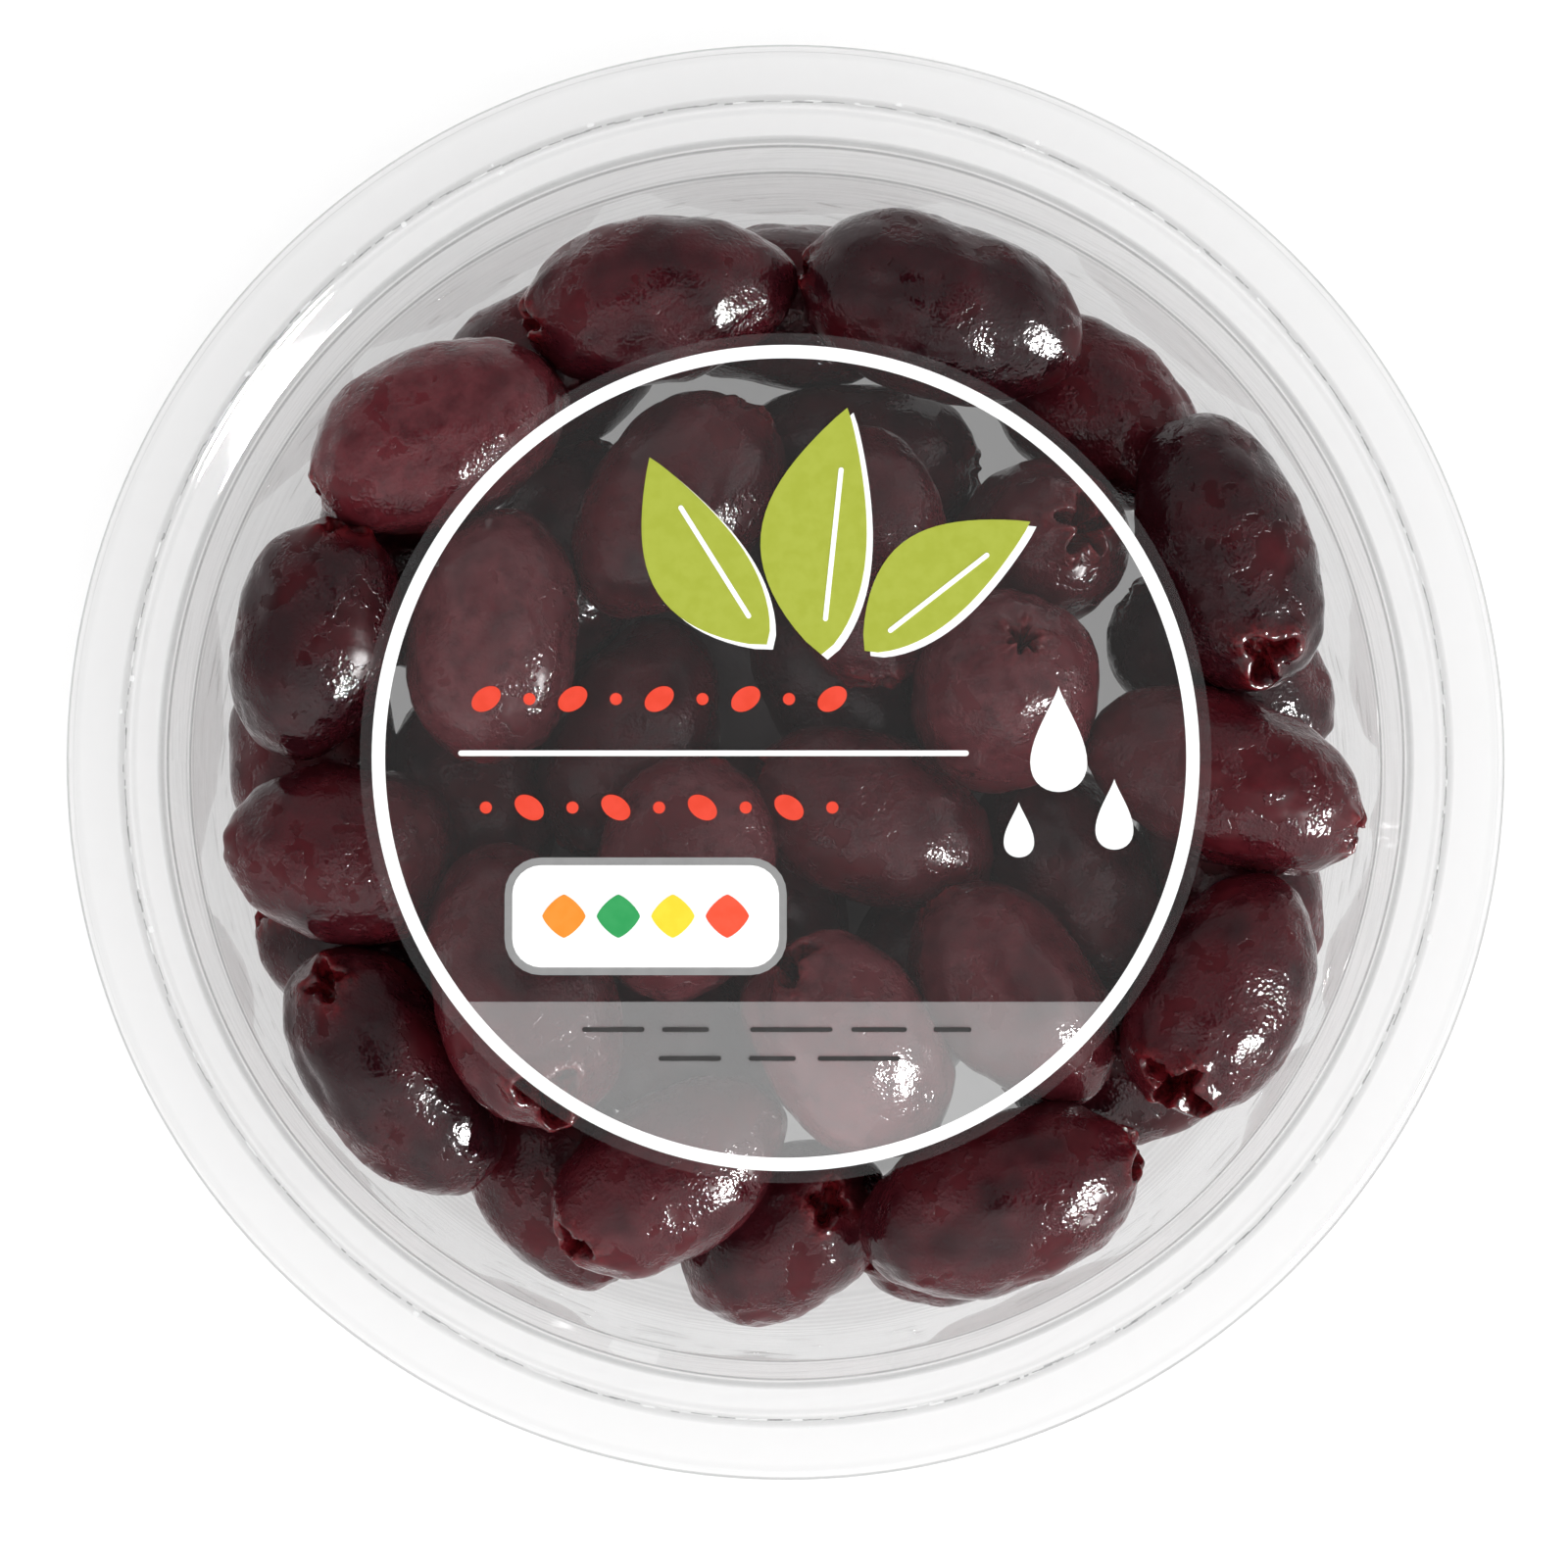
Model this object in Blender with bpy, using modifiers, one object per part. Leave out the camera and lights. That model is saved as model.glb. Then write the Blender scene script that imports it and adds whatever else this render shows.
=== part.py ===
"""A clear round tub of pitted olives, shut by a sealed film that carries a round label.

Metres, +Z up. The origin is on the table, under the middle of the tub. Sizes are named in
millimetres below and turned into metres where a mesh is made.
"""

import math
from typing import NamedTuple

import bmesh
import bpy
import numpy as np
from mathutils import Euler, Vector

MM = 0.001

# Driving dimensions of the tub, in millimetres
RIM_RADIUS = 65.0
TUB_HEIGHT = 38.0
WALL = 0.6
LIP_DROP = 1.5
LIP_ROUND = 0.4
EDGE_ROUND = 0.6
FLANGE_WIDTH = 5.7
NECK_RADIUS = 56.0
NECK_DROP = 3.0
NECK_ROUND = 0.25
STEP_RADIUS = 54.3
STEP_LEDGE = 0.4
STEP_ROUND = 0.15
STEP_HEIGHT = 28.3
HEEL_TOP_RADIUS = 52.4
HEEL_ROUND = 4.0
FOOT_WIDTH = 6.0
FLOOR_RAISE = 1.2
FLOOR_RAMP = 1.6
TUB_SIDES = 64
MERGE_DISTANCE = 0.01

# Film and label
FILM_RADIUS = 64.6
FILM_THICK = 0.3
LABEL_RADIUS = 38.4
LABEL_THICK = 0.3
GAP = 0.3
OLIVE_CLEARANCE = 0.8
SHARP_EDGE = 45

# The usual olive, and how far the ones placed by a rule differ from it
OLIVE_LENGTH = 24.6
OLIVE_WIDTH = 15.4
SIZE_SPREAD = 0.07
TURN_SPREAD = 12
PITCH_SPREAD = 5
PIT_DEPTH = 4.0
OLIVE_SIDES = 12
OLIVE_RINGS = 9
BLUNT_POWER, BLUNT_ROOT = 2.6, 0.50
POINTED_POWER, POINTED_ROOT = 2.0, 0.57
BULGE = 0.03
POLE_SHARE = 0.999

# Rows of the bottom layer: angles of the olives along the wall, and of those inside them
WALL_ROW_RADIUS = 43.4
WALL_ROW_ANGLES = (90, 121, 152, 181, 210, 238, 297, 325, 350, 13)
INNER_ROW_RADIUS = 24.0
INNER_ROW_ANGLES = (70, 130, 190, 250, 310)
MIDDLE_PAIR_OFFSET = 8.0
BOTTOM_HEIGHT = 9.6
SEED = 41

# Settling of the heap
BALLS = 5
SETTLE_ROUNDS = 420
CALM_ROUNDS = 120
SINK = 0.16
PUSH_SHARE = 0.32
SHOWN_PULL = 0.05
HIDDEN_PULL = 0.002
TURN_SHARE = 2.0

# The core that the olives are fused to
CORE_RADIUS = 45.0
CORE_TOP = 16.5
CORE_BOTTOM = 5.0
CORE_SIDES = 20


class Olive(NamedTuple):
    """Place and size in millimetres, and the way the pitted end points, in degrees."""

    across: float
    along: float
    height: float
    length: float
    width: float
    heading: float
    pitch: float


# The olives that show from above, clockwise along the wall and then inside that ring
SHOWN_OLIVES = (
    Olive(-11.4, 43.2, 23.0, 25.8, 15.2, 191, 4),
    Olive(14.6, 42.6, 23.0, 27.2, 16.8, 163, 0),
    Olive(29.4, 33.6, 13.0, 23.4, 15.2, 142, 0),
    Olive(41.3, 20.4, 23.5, 27.2, 15.6, -74, 4),
    Olive(39.6, -1.6, 20.5, 27.0, 15.4, -23, 0),
    Olive(40.2, -20.6, 22.5, 24.6, 15.9, -114, 12),
    Olive(19.4, -39.8, 22.5, 27.2, 16.0, 19, 2),
    Olive(0.3, -42.6, 13.0, 22.4, 15.2, 30, 22),
    Olive(-9.9, -37.6, 22.0, 24.4, 15.2, 213, 0),
    Olive(-35.2, -27.6, 19.5, 26.8, 15.4, 126, 6),
    Olive(-40.6, -7.4, 20.0, 22.0, 16.6, -10, 0),
    Olive(-43.4, 11.2, 22.5, 23.0, 15.6, 76, 10),
    Olive(-31.4, 30.2, 23.5, 25.2, 16.4, 205, 0),
    Olive(-27.0, 13.2, 23.0, 24.2, 16.0, 267, -4),
    Olive(-25.6, -20.2, 25.0, 27.4, 16.8, 286, 8),
    Olive(-11.2, 24.2, 21.0, 24.0, 16.0, 47, 4),
    Olive(7.8, 19.8, 21.5, 24.6, 15.6, 275, 0),
    Olive(23.8, 21.2, 15.5, 22.0, 15.6, 10, 66),
    Olive(20.4, 6.2, 21.0, 22.6, 17.4, 77, 50),
    Olive(-14.6, 2.6, 14.0, 23.4, 15.4, 245, 0),
    Olive(-9.8, -10.2, 23.5, 23.4, 16.8, 68, -6),
    Olive(8.4, -6.0, 19.5, 24.2, 15.6, 160, 0),
    Olive(7.4, -25.0, 23.5, 23.6, 16.4, 130, 12),
    Olive(19.4, -19.6, 20.0, 23.8, 15.6, 130, 0),
    Olive(26.4, -10.2, 13.5, 23.2, 15.4, 115, 0),
)


def clear_scene():
    for obj in list(bpy.data.objects):
        bpy.data.objects.remove(obj, do_unlink=True)


def new_collection(name):
    collection = bpy.data.collections.new(name)
    bpy.context.scene.collection.children.link(collection)
    return collection


def new_material(name, colour, roughness, alpha=1.0):
    """A plain non-metal finish. An alpha under 1 makes it clear."""
    material = bpy.data.materials.new(name)
    material.use_nodes = True
    shader = material.node_tree.nodes["Principled BSDF"]
    shader.inputs["Base Color"].default_value = (*colour, 1.0)
    shader.inputs["Roughness"].default_value = roughness
    shader.inputs["Metallic"].default_value = 0.0
    shader.inputs["Alpha"].default_value = alpha
    return material


def link_mesh(name, mesh, collection):
    obj = bpy.data.objects.new(name, mesh)
    collection.objects.link(obj)
    return obj


def arc(middle, radius, start, end, count):
    """Points of a round corner in the profile's plane, from one angle to another, in degrees."""
    angles = [math.radians(start + (end - start) * i / (count - 1)) for i in range(count)]
    return [(middle[0] + radius * math.cos(a), middle[1] + radius * math.sin(a)) for a in angles]


def tub_profile():
    """The outer skin, from the bottom of the turned-down lip over the flange and down to the middle."""
    under_flange = TUB_HEIGHT - WALL
    lip_inside = RIM_RADIUS - WALL
    seal_edge = RIM_RADIUS - FLANGE_WIDTH + WALL
    neck = NECK_RADIUS + WALL
    neck_foot = TUB_HEIGHT - NECK_DROP
    step = STEP_RADIUS + WALL
    heel_middle = (HEEL_TOP_RADIUS + WALL - HEEL_ROUND, HEEL_ROUND)
    foot_inner = heel_middle[0] - FOOT_WIDTH
    return [
        (lip_inside, TUB_HEIGHT - LIP_DROP),
        (lip_inside, under_flange - LIP_ROUND),
        (lip_inside - LIP_ROUND, under_flange),
        (seal_edge, under_flange),
        (seal_edge - EDGE_ROUND, under_flange - EDGE_ROUND),
        (neck + NECK_ROUND, neck_foot + NECK_ROUND),
        (neck, neck_foot - LIP_ROUND),
        (step + STEP_LEDGE, STEP_HEIGHT + EDGE_ROUND),
        (step + STEP_ROUND, STEP_HEIGHT),
        (step, STEP_HEIGHT - 2 * EDGE_ROUND),
        *arc(heel_middle, HEEL_ROUND, 0, -90, 5),
        (foot_inner, 0.0),
        (foot_inner - FLOOR_RAMP, FLOOR_RAISE),
        (0.0, FLOOR_RAISE),
    ]


def turned(name, profile, sides, collection):
    """An open profile turned round the upright axis."""
    mesh = bpy.data.meshes.new(name)
    corners = [(x * MM, 0.0, z * MM) for x, z in profile]
    mesh.from_pydata(corners, [(i, i + 1) for i in range(len(corners) - 1)], [])
    obj = link_mesh(name, mesh, collection)
    screw = obj.modifiers.new("Turn", "SCREW")
    screw.steps = sides
    screw.render_steps = sides
    screw.use_merge_vertices = True
    screw.merge_threshold = MERGE_DISTANCE * MM
    screw.use_smooth_shade = True
    return obj


def build_tub(collection):
    """The clear tub: its outer skin, thickened inward."""
    tub = turned("tub", tub_profile(), TUB_SIDES, collection)
    shell = tub.modifiers.new("Wall", "SOLIDIFY")
    shell.thickness = WALL * MM
    shell.offset = -1.0
    shell.use_even_offset = True
    tub.data.materials.append(new_material("clear plastic", (0.93, 0.94, 0.94), 0.08, 0.25))
    return tub


def build_disc(name, radius, thick, bottom, material, collection):
    """A thin flat disc, as a film or a label."""
    mesh = bpy.data.meshes.new(name)
    bm = bmesh.new()
    bmesh.ops.create_cone(
        bm, cap_ends=True, segments=TUB_SIDES, radius1=radius * MM, radius2=radius * MM, depth=thick * MM
    )
    bm.to_mesh(mesh)
    bm.free()
    mesh.shade_smooth()
    mesh.set_sharp_from_angle(angle=math.radians(SHARP_EDGE))
    obj = link_mesh(name, mesh, collection)
    obj.location.z = (bottom + thick / 2) * MM
    obj.data.materials.append(material)
    return obj


def build_film(collection):
    """The clear film that lies on the flange."""
    finish = new_material("clear film", (0.95, 0.95, 0.95), 0.1, 0.2)
    return build_disc("film_lid", FILM_RADIUS, FILM_THICK, TUB_HEIGHT + GAP, finish, collection)


def build_label(collection):
    """The round label that lies on the film."""
    finish = new_material("dark clear label", (0.03, 0.03, 0.03), 0.3, 0.6)
    bottom = TUB_HEIGHT + GAP + FILM_THICK + GAP
    return build_disc("label", LABEL_RADIUS, LABEL_THICK, bottom, finish, collection)


def bottom_olives():
    """The layer on the floor: a row along the wall, a row inside it, and a pair in the middle."""
    draw = np.random.default_rng(SEED)
    places = []
    for radius, angles in ((WALL_ROW_RADIUS, WALL_ROW_ANGLES), (INNER_ROW_RADIUS, INNER_ROW_ANGLES)):
        for angle in angles:
            turn = math.radians(angle)
            places.append((radius * math.cos(turn), radius * math.sin(turn), angle + 90))
    places += [(-MIDDLE_PAIR_OFFSET, 0.0, 80), (MIDDLE_PAIR_OFFSET, 0.0, 100)]
    olives = []
    for across, along, heading in places:
        length = OLIVE_LENGTH * (1 + draw.uniform(-SIZE_SPREAD, SIZE_SPREAD))
        width = OLIVE_WIDTH * (1 + draw.uniform(-SIZE_SPREAD, SIZE_SPREAD) / 2)
        heading += draw.uniform(-TURN_SPREAD, TURN_SPREAD) + 180 * draw.integers(2)
        pitch = draw.uniform(-PITCH_SPREAD, PITCH_SPREAD)
        olives.append(Olive(across, along, BOTTOM_HEIGHT, length, width, heading, pitch))
    return olives


def unit(vectors):
    return vectors / np.linalg.norm(vectors, axis=-1, keepdims=True)


def pointing(heading, pitch):
    heading, pitch = np.radians(heading), np.radians(pitch)
    return np.stack([np.cos(pitch) * np.cos(heading), np.cos(pitch) * np.sin(heading), np.sin(pitch)], -1)


def inside_radius(height):
    """The clear radius inside the tub at a height over the table."""
    share = np.clip((height - HEEL_ROUND) / (STEP_HEIGHT - HEEL_ROUND), 0, 1)
    return HEEL_TOP_RADIUS + (STEP_RADIUS - HEEL_TOP_RADIUS) * share - OLIVE_CLEARANCE


def settle(olives):
    """Lets the olives sink and push each other apart. Each is a row of balls that fit inside it."""
    across, along, height, length, width, heading, pitch = np.array(olives).T
    centres = np.stack([across, along, height], -1)
    axes = pointing(heading, pitch)
    home, home_axes = centres.copy(), axes.copy()
    pull = np.full((len(olives), 1), HIDDEN_PULL)
    pull[: len(SHOWN_OLIVES)] = SHOWN_PULL
    spare = (length / 2) ** 2 - (width / 2) ** 2
    spots = np.linspace(-1, 1, BALLS) * (spare / (length / 2))[:, None]
    radii = (width / 2)[:, None] * np.sqrt(1 - spots**2 / spare[:, None])
    owner = np.repeat(np.arange(len(olives)), BALLS)
    others = owner[:, None] != owner[None]
    floor = FLOOR_RAISE + WALL + OLIVE_CLEARANCE
    for step in range(SETTLE_ROUNDS):
        balls = (centres[:, None] + axes[:, None] * spots[..., None]).reshape(-1, 3)
        flat_radii = radii.reshape(-1)
        apart = balls[:, None] - balls[None]
        distance = np.linalg.norm(apart, axis=-1) + 1e-9
        overlap = np.clip(flat_radii[:, None] + flat_radii[None] - distance, 0, None) * others
        push = PUSH_SHARE * (overlap[..., None] * apart / distance[..., None]).sum(axis=1)
        from_axis = np.linalg.norm(balls[:, :2], axis=-1)
        beyond = np.clip(from_axis + flat_radii - inside_radius(balls[:, 2]), 0, None)
        push[:, :2] -= balls[:, :2] * (beyond / (from_axis + 1e-9))[:, None]
        push[:, 2] += np.clip(floor - (balls[:, 2] - flat_radii), 0, None)
        push[:, 2] -= SINK * (step < SETTLE_ROUNDS - CALM_ROUNDS)
        moved = (balls + push).reshape(len(olives), BALLS, 3)
        centres = moved.mean(axis=1)
        centres += pull * (home - centres)
        axes = unit(unit((moved * spots[..., None]).sum(axis=1)) + TURN_SHARE * pull * home_axes)
    turns = np.degrees(np.arctan2(axes[:, 1], axes[:, 0]))
    rises = np.degrees(np.arcsin(axes[:, 2]))
    columns = (*centres.T, length, width, turns, rises)
    return [Olive(*row) for row in zip(*(column.tolist() for column in columns))]


def olive_radius(share):
    """Radius along the axis, as a share of half the width: blunt at the pitted end, pointed at the other."""
    blunt = (1 - abs(share) ** BLUNT_POWER) ** BLUNT_ROOT
    pointed = (1 - abs(share) ** POINTED_POWER) ** POINTED_ROOT
    return blunt if share > 0 else pointed


def build_olive(number, olive, collection):
    """One olive: a ball drawn out along X, with a dent where the pit was pushed out."""
    mesh = bpy.data.meshes.new(f"olive {number}")
    bm = bmesh.new()
    bmesh.ops.create_uvsphere(bm, u_segments=OLIVE_SIDES, v_segments=OLIVE_RINGS, radius=1.0)
    half_long, half_wide = olive.length / 2 * MM, olive.width / 2 * MM
    for vertex in bm.verts:
        share = vertex.co.z
        around = math.atan2(vertex.co.y, vertex.co.x)
        is_pole = abs(share) > POLE_SHARE
        radius = 0.0 if is_pole else half_wide * olive_radius(share)
        radius *= 1 + BULGE * math.sin(2 * around + number) + BULGE * math.sin(around + 2 * share + number)
        along = half_long * share - (PIT_DEPTH * MM if is_pole and share > 0 else 0.0)
        vertex.co = Vector((along, radius * math.cos(around), radius * math.sin(around)))
    bmesh.ops.recalc_face_normals(bm, faces=bm.faces)
    bm.to_mesh(mesh)
    bm.free()
    obj = link_mesh(mesh.name, mesh, collection)
    obj.location = Vector((olive.across, olive.along, olive.height)) * MM
    obj.rotation_euler = Euler((0.0, -math.radians(olive.pitch), math.radians(olive.heading)))
    return obj


def build_core(collection):
    """A low drum inside the heap, which every olive reaches."""
    mesh = bpy.data.meshes.new("olives")
    bm = bmesh.new()
    depth = (CORE_TOP - CORE_BOTTOM) * MM
    bmesh.ops.create_cone(
        bm,
        cap_ends=True,
        segments=CORE_SIDES,
        radius1=CORE_RADIUS * MM,
        radius2=CORE_RADIUS * MM,
        depth=depth,
    )
    bmesh.ops.translate(bm, verts=bm.verts, vec=(0, 0, CORE_BOTTOM * MM + depth / 2))
    bm.to_mesh(mesh)
    bm.free()
    return link_mesh("olives", mesh, collection)


def pieces_of(bm):
    """The faces of each connected piece of a mesh."""
    left = set(bm.faces)
    pieces = []
    while left:
        waiting = [left.pop()]
        piece = set(waiting)
        while waiting:
            for edge in waiting.pop().edges:
                near = [face for face in edge.link_faces if face in left]
                left.difference_update(near)
                piece.update(near)
                waiting.extend(near)
        pieces.append(piece)
    return pieces


def keep_largest_piece(mesh):
    """Drops loose scraps and the skins of sealed hollows."""
    bm = bmesh.new()
    bm.from_mesh(mesh)
    pieces = sorted(pieces_of(bm), key=len)
    scraps = [face for piece in pieces[:-1] for face in piece]
    bmesh.ops.delete(bm, geom=scraps, context="FACES")
    bm.to_mesh(mesh)
    bm.free()


def build_heap(collection):
    """The olives, fused to the core as one solid."""
    loose = new_collection("loose olives")
    for number, olive in enumerate(settle([*SHOWN_OLIVES, *bottom_olives()])):
        build_olive(number, olive, loose)
    heap = build_core(collection)
    fuse = heap.modifiers.new("Fuse", "BOOLEAN")
    fuse.operation = "UNION"
    fuse.operand_type = "COLLECTION"
    fuse.collection = loose
    fuse.solver = "EXACT"
    bpy.context.view_layer.update()
    fused = heap.evaluated_get(bpy.context.evaluated_depsgraph_get())
    mesh = bpy.data.meshes.new_from_object(fused)
    heap.modifiers.remove(fuse)
    heap.data = mesh
    mesh.name = "olives"
    keep_largest_piece(mesh)
    mesh.shade_smooth()
    mesh.set_sharp_from_angle(angle=math.radians(SHARP_EDGE))
    mesh.materials.clear()
    mesh.materials.append(new_material("olive skin", (0.045, 0.012, 0.014), 0.25))
    for obj in list(loose.objects):
        bpy.data.objects.remove(obj, do_unlink=True)
    bpy.data.collections.remove(loose)
    return heap


def main():
    clear_scene()
    collection = new_collection("tub of olives")
    build_tub(collection)
    build_heap(collection)
    build_film(collection)
    build_label(collection)


if __name__ == "__main__":
    main()
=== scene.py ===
"""A clear round tub of dark pitted olives, shut by a sealed film with a round see-through label.

Laid out as a Blender add-on and run as a script. Metres and +Z up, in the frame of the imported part.
Sizes in the tables are in millimetres and angles in degrees.
"""

import math
from typing import NamedTuple

import bmesh
import bpy
import numpy as np
from bpy.props import FloatProperty, FloatVectorProperty, IntProperty, PointerProperty
from mathutils import Euler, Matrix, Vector


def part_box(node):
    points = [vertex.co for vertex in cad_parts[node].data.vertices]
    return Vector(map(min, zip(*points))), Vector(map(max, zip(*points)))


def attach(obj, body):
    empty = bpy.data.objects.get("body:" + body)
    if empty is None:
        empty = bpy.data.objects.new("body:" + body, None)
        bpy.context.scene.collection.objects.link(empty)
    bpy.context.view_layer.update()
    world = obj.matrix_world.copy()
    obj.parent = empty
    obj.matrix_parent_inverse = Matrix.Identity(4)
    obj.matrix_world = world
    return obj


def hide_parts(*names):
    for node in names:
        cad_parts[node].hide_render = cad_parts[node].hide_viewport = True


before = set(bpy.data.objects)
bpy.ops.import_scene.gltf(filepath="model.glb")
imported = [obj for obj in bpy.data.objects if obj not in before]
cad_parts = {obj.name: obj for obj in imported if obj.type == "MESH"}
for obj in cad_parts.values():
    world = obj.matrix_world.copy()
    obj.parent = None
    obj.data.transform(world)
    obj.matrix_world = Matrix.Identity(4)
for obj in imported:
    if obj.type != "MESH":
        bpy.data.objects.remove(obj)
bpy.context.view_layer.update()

bl_info = {
    "name": "Tub of olives",
    "version": (1, 0, 0),
    "blender": (4, 5, 0),
    "location": "View3D > Sidebar > Olives",
    "description": "Builds a clear sealed tub of pitted olives, piece by piece",
    "category": "Add Mesh",
}

MM = 0.001
WHITE = (1.0, 1.0, 1.0, 1.0)
SHARP_EDGE = 40

_, TUB_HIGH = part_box("tub")
FILM_LOW, FILM_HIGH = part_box("film_lid")
_, LABEL_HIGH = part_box("label")

# Shape of the tub in millimetres, as in the solid
FLANGE_WIDTH = 5.7
NECK_RADIUS = 56.0
NECK_DROP = 3.0
NECK_ROUND = 0.25
STEP_RADIUS = 54.3
STEP_LEDGE = 0.4
STEP_ROUND = 0.15
STEP_HEIGHT = 28.3
HEEL_TOP_RADIUS = 52.4
HEEL_ROUND = 4.0
FOOT_WIDTH = 6.0
FLOOR_RAISE = 1.2
FLOOR_RAMP = 1.6
LIP_DROP = 1.5
LIP_ROUND = 0.4
EDGE_ROUND = 0.6
OLIVE_CLEARANCE = 0.8

# Rounding of its corners: the reach in millimetres, its largest share of a side, and the heel's painted shade
# and steps
CORNER_REACH = 0.5
CORNER_SHARE = 0.45
HEEL_SHADE = 0.22
HEEL_STEPS = 12

# The film and the marks of its seal, in millimetres and degrees, with layers as heights over the film
SEAM_OFFSET = 0.3
MARK_SHIFT = 0.3
MARK_SPAN = (0.5, 1.9)
MARK_WIDTH = (0.05, 0.16)
MARK_WANDER = 0.06
MARK_LAYER = (0.01, 0.05)
PALE_MARKS = 0.25
CRUMB_COUNT = 26
CRUMB_WANDER = 0.7
CRUMB_SPAN = (0.2, 0.6)
CRUMB_WIDTH = (0.15, 0.5)
CRUMB_LAYER = (0.01, 0.09)
FILM_EDGE = 0.08
FILM_TINT = (0.9, 0.9, 0.9)

# Olives placed by a rule
OLIVE_LENGTH = 24.6
OLIVE_WIDTH = 15.4
SIZE_SPREAD = 0.07
TURN_SPREAD = 12
PITCH_SPREAD = 5
WALL_ROW_RADIUS = 43.4
WALL_ROW_ANGLES = (90, 121, 152, 181, 210, 238, 297, 325, 350, 13)
INNER_ROW_RADIUS = 24.0
INNER_ROW_ANGLES = (70, 130, 190, 250, 310)
MIDDLE_PAIR_OFFSET = 8.0
BOTTOM_HEIGHT = 9.6
SEED = 41
SEAL_SEED, DROP_SEED, SMEAR_SEED, MIST_SEED = 7, 19, 23, 29

# Settling of the heap
BALLS = 5
SETTLE_ROUNDS = 420
CALM_ROUNDS = 120
SINK = 0.16
PUSH_SHARE = 0.32
SHOWN_PULL = 0.05
HIDDEN_PULL = 0.002
TURN_SHARE = 2.0

# Looks of the olives under the others, each drawn between two values. Lobes are counted up from the fewest.
HIDDEN_HOLE = (1.3, 2.1)
FEWEST_LOBES, LOBE_COUNTS = 3, 3
HIDDEN_LIFT = (0, 25)
HIDDEN_REDNESS = (0.15, 0.55)


class Olive(NamedTuple):
    """Place and size in millimetres, and the way the pitted end points, in degrees."""

    across: float
    along: float
    height: float
    length: float
    width: float
    heading: float
    pitch: float


class Look(NamedTuple):
    """The torn hole: radius, lobes and turn upward. Redness is 0 for black, 1 for red and 1.5 for pale."""

    hole: float
    lobes: int
    lift: float
    redness: float


# The olives that show from above, clockwise along the wall and then inside that ring
SHOWN_OLIVES = (
    (Olive(-11.4, 43.2, 23.0, 25.8, 15.2, 191, 4), Look(1.7, 3, 8, 0.55)),
    (Olive(14.6, 42.6, 23.0, 27.2, 16.8, 163, 0), Look(1.5, 3, 5, 0.15)),
    (Olive(29.4, 33.6, 13.0, 23.4, 15.2, 142, 0), Look(1.5, 3, 0, 0.50)),
    (Olive(41.3, 20.4, 23.5, 27.2, 15.6, -74, 4), Look(2.6, 3, 34, 0.08)),
    (Olive(39.6, -1.6, 20.5, 27.0, 15.4, -23, 0), Look(1.8, 5, 4, 0.65)),
    (Olive(40.2, -20.6, 22.5, 24.6, 15.9, -117, 8), Look(3.3, 4, 29, 0.50)),
    (Olive(19.4, -39.8, 22.5, 27.2, 16.0, 19, 2), Look(2.2, 3, 8, 0.60)),
    (Olive(0.3, -42.6, 13.0, 22.4, 15.2, 30, 22), Look(1.9, 4, 42, 0.50)),
    (Olive(-9.9, -37.6, 22.0, 24.4, 15.2, 213, 0), Look(2.3, 3, 22, 0.80)),
    (Olive(-35.2, -27.6, 19.5, 26.8, 15.4, 126, 6), Look(2.0, 4, 30, 0.20)),
    (Olive(-40.6, -7.4, 20.0, 22.0, 16.6, -10, 0), Look(1.5, 3, 0, 0.50)),
    (Olive(-43.4, 11.2, 22.5, 23.0, 15.6, 76, 10), Look(1.8, 3, 15, 0.06)),
    (Olive(-31.4, 30.2, 23.5, 25.2, 16.4, 205, 0), Look(1.1, 3, 5, 1.15)),
    (Olive(-27.0, 13.2, 23.0, 24.2, 16.0, 267, -4), Look(1.6, 4, 0, 1.25)),
    (Olive(-25.6, -20.2, 25.0, 27.4, 16.8, 286, 8), Look(3.3, 3, 30, 0.85)),
    (Olive(-11.2, 24.2, 21.0, 24.0, 16.0, 47, 4), Look(1.8, 4, 10, 0.85)),
    (Olive(7.8, 19.8, 21.5, 24.6, 15.6, 275, 0), Look(1.8, 4, 10, 0.80)),
    (Olive(23.8, 21.2, 15.5, 22.0, 15.6, 10, 66), Look(2.9, 5, 0, 1.00)),
    (Olive(20.4, 6.2, 21.0, 22.6, 17.4, 77, 50), Look(1.5, 6, 0, 1.25)),
    (Olive(-14.6, 2.6, 14.0, 23.4, 15.4, 245, 0), Look(1.6, 4, 0, 0.70)),
    (Olive(-9.8, -10.2, 23.5, 23.4, 16.8, 68, -6), Look(1.2, 3, 0, 1.50)),
    (Olive(8.4, -6.0, 19.5, 24.2, 15.6, 160, 0), Look(1.6, 4, 0, 0.85)),
    (Olive(7.4, -25.0, 23.5, 23.6, 16.4, 130, 12), Look(2.4, 3, 27, 1.45)),
    (Olive(19.4, -19.6, 20.0, 23.8, 15.6, 130, 0), Look(1.6, 4, 5, 1.05)),
    (Olive(26.4, -10.2, 13.5, 23.2, 15.4, 115, 0), Look(1.6, 4, 0, 0.40)),
)
OUTER_COUNT = 13

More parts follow.
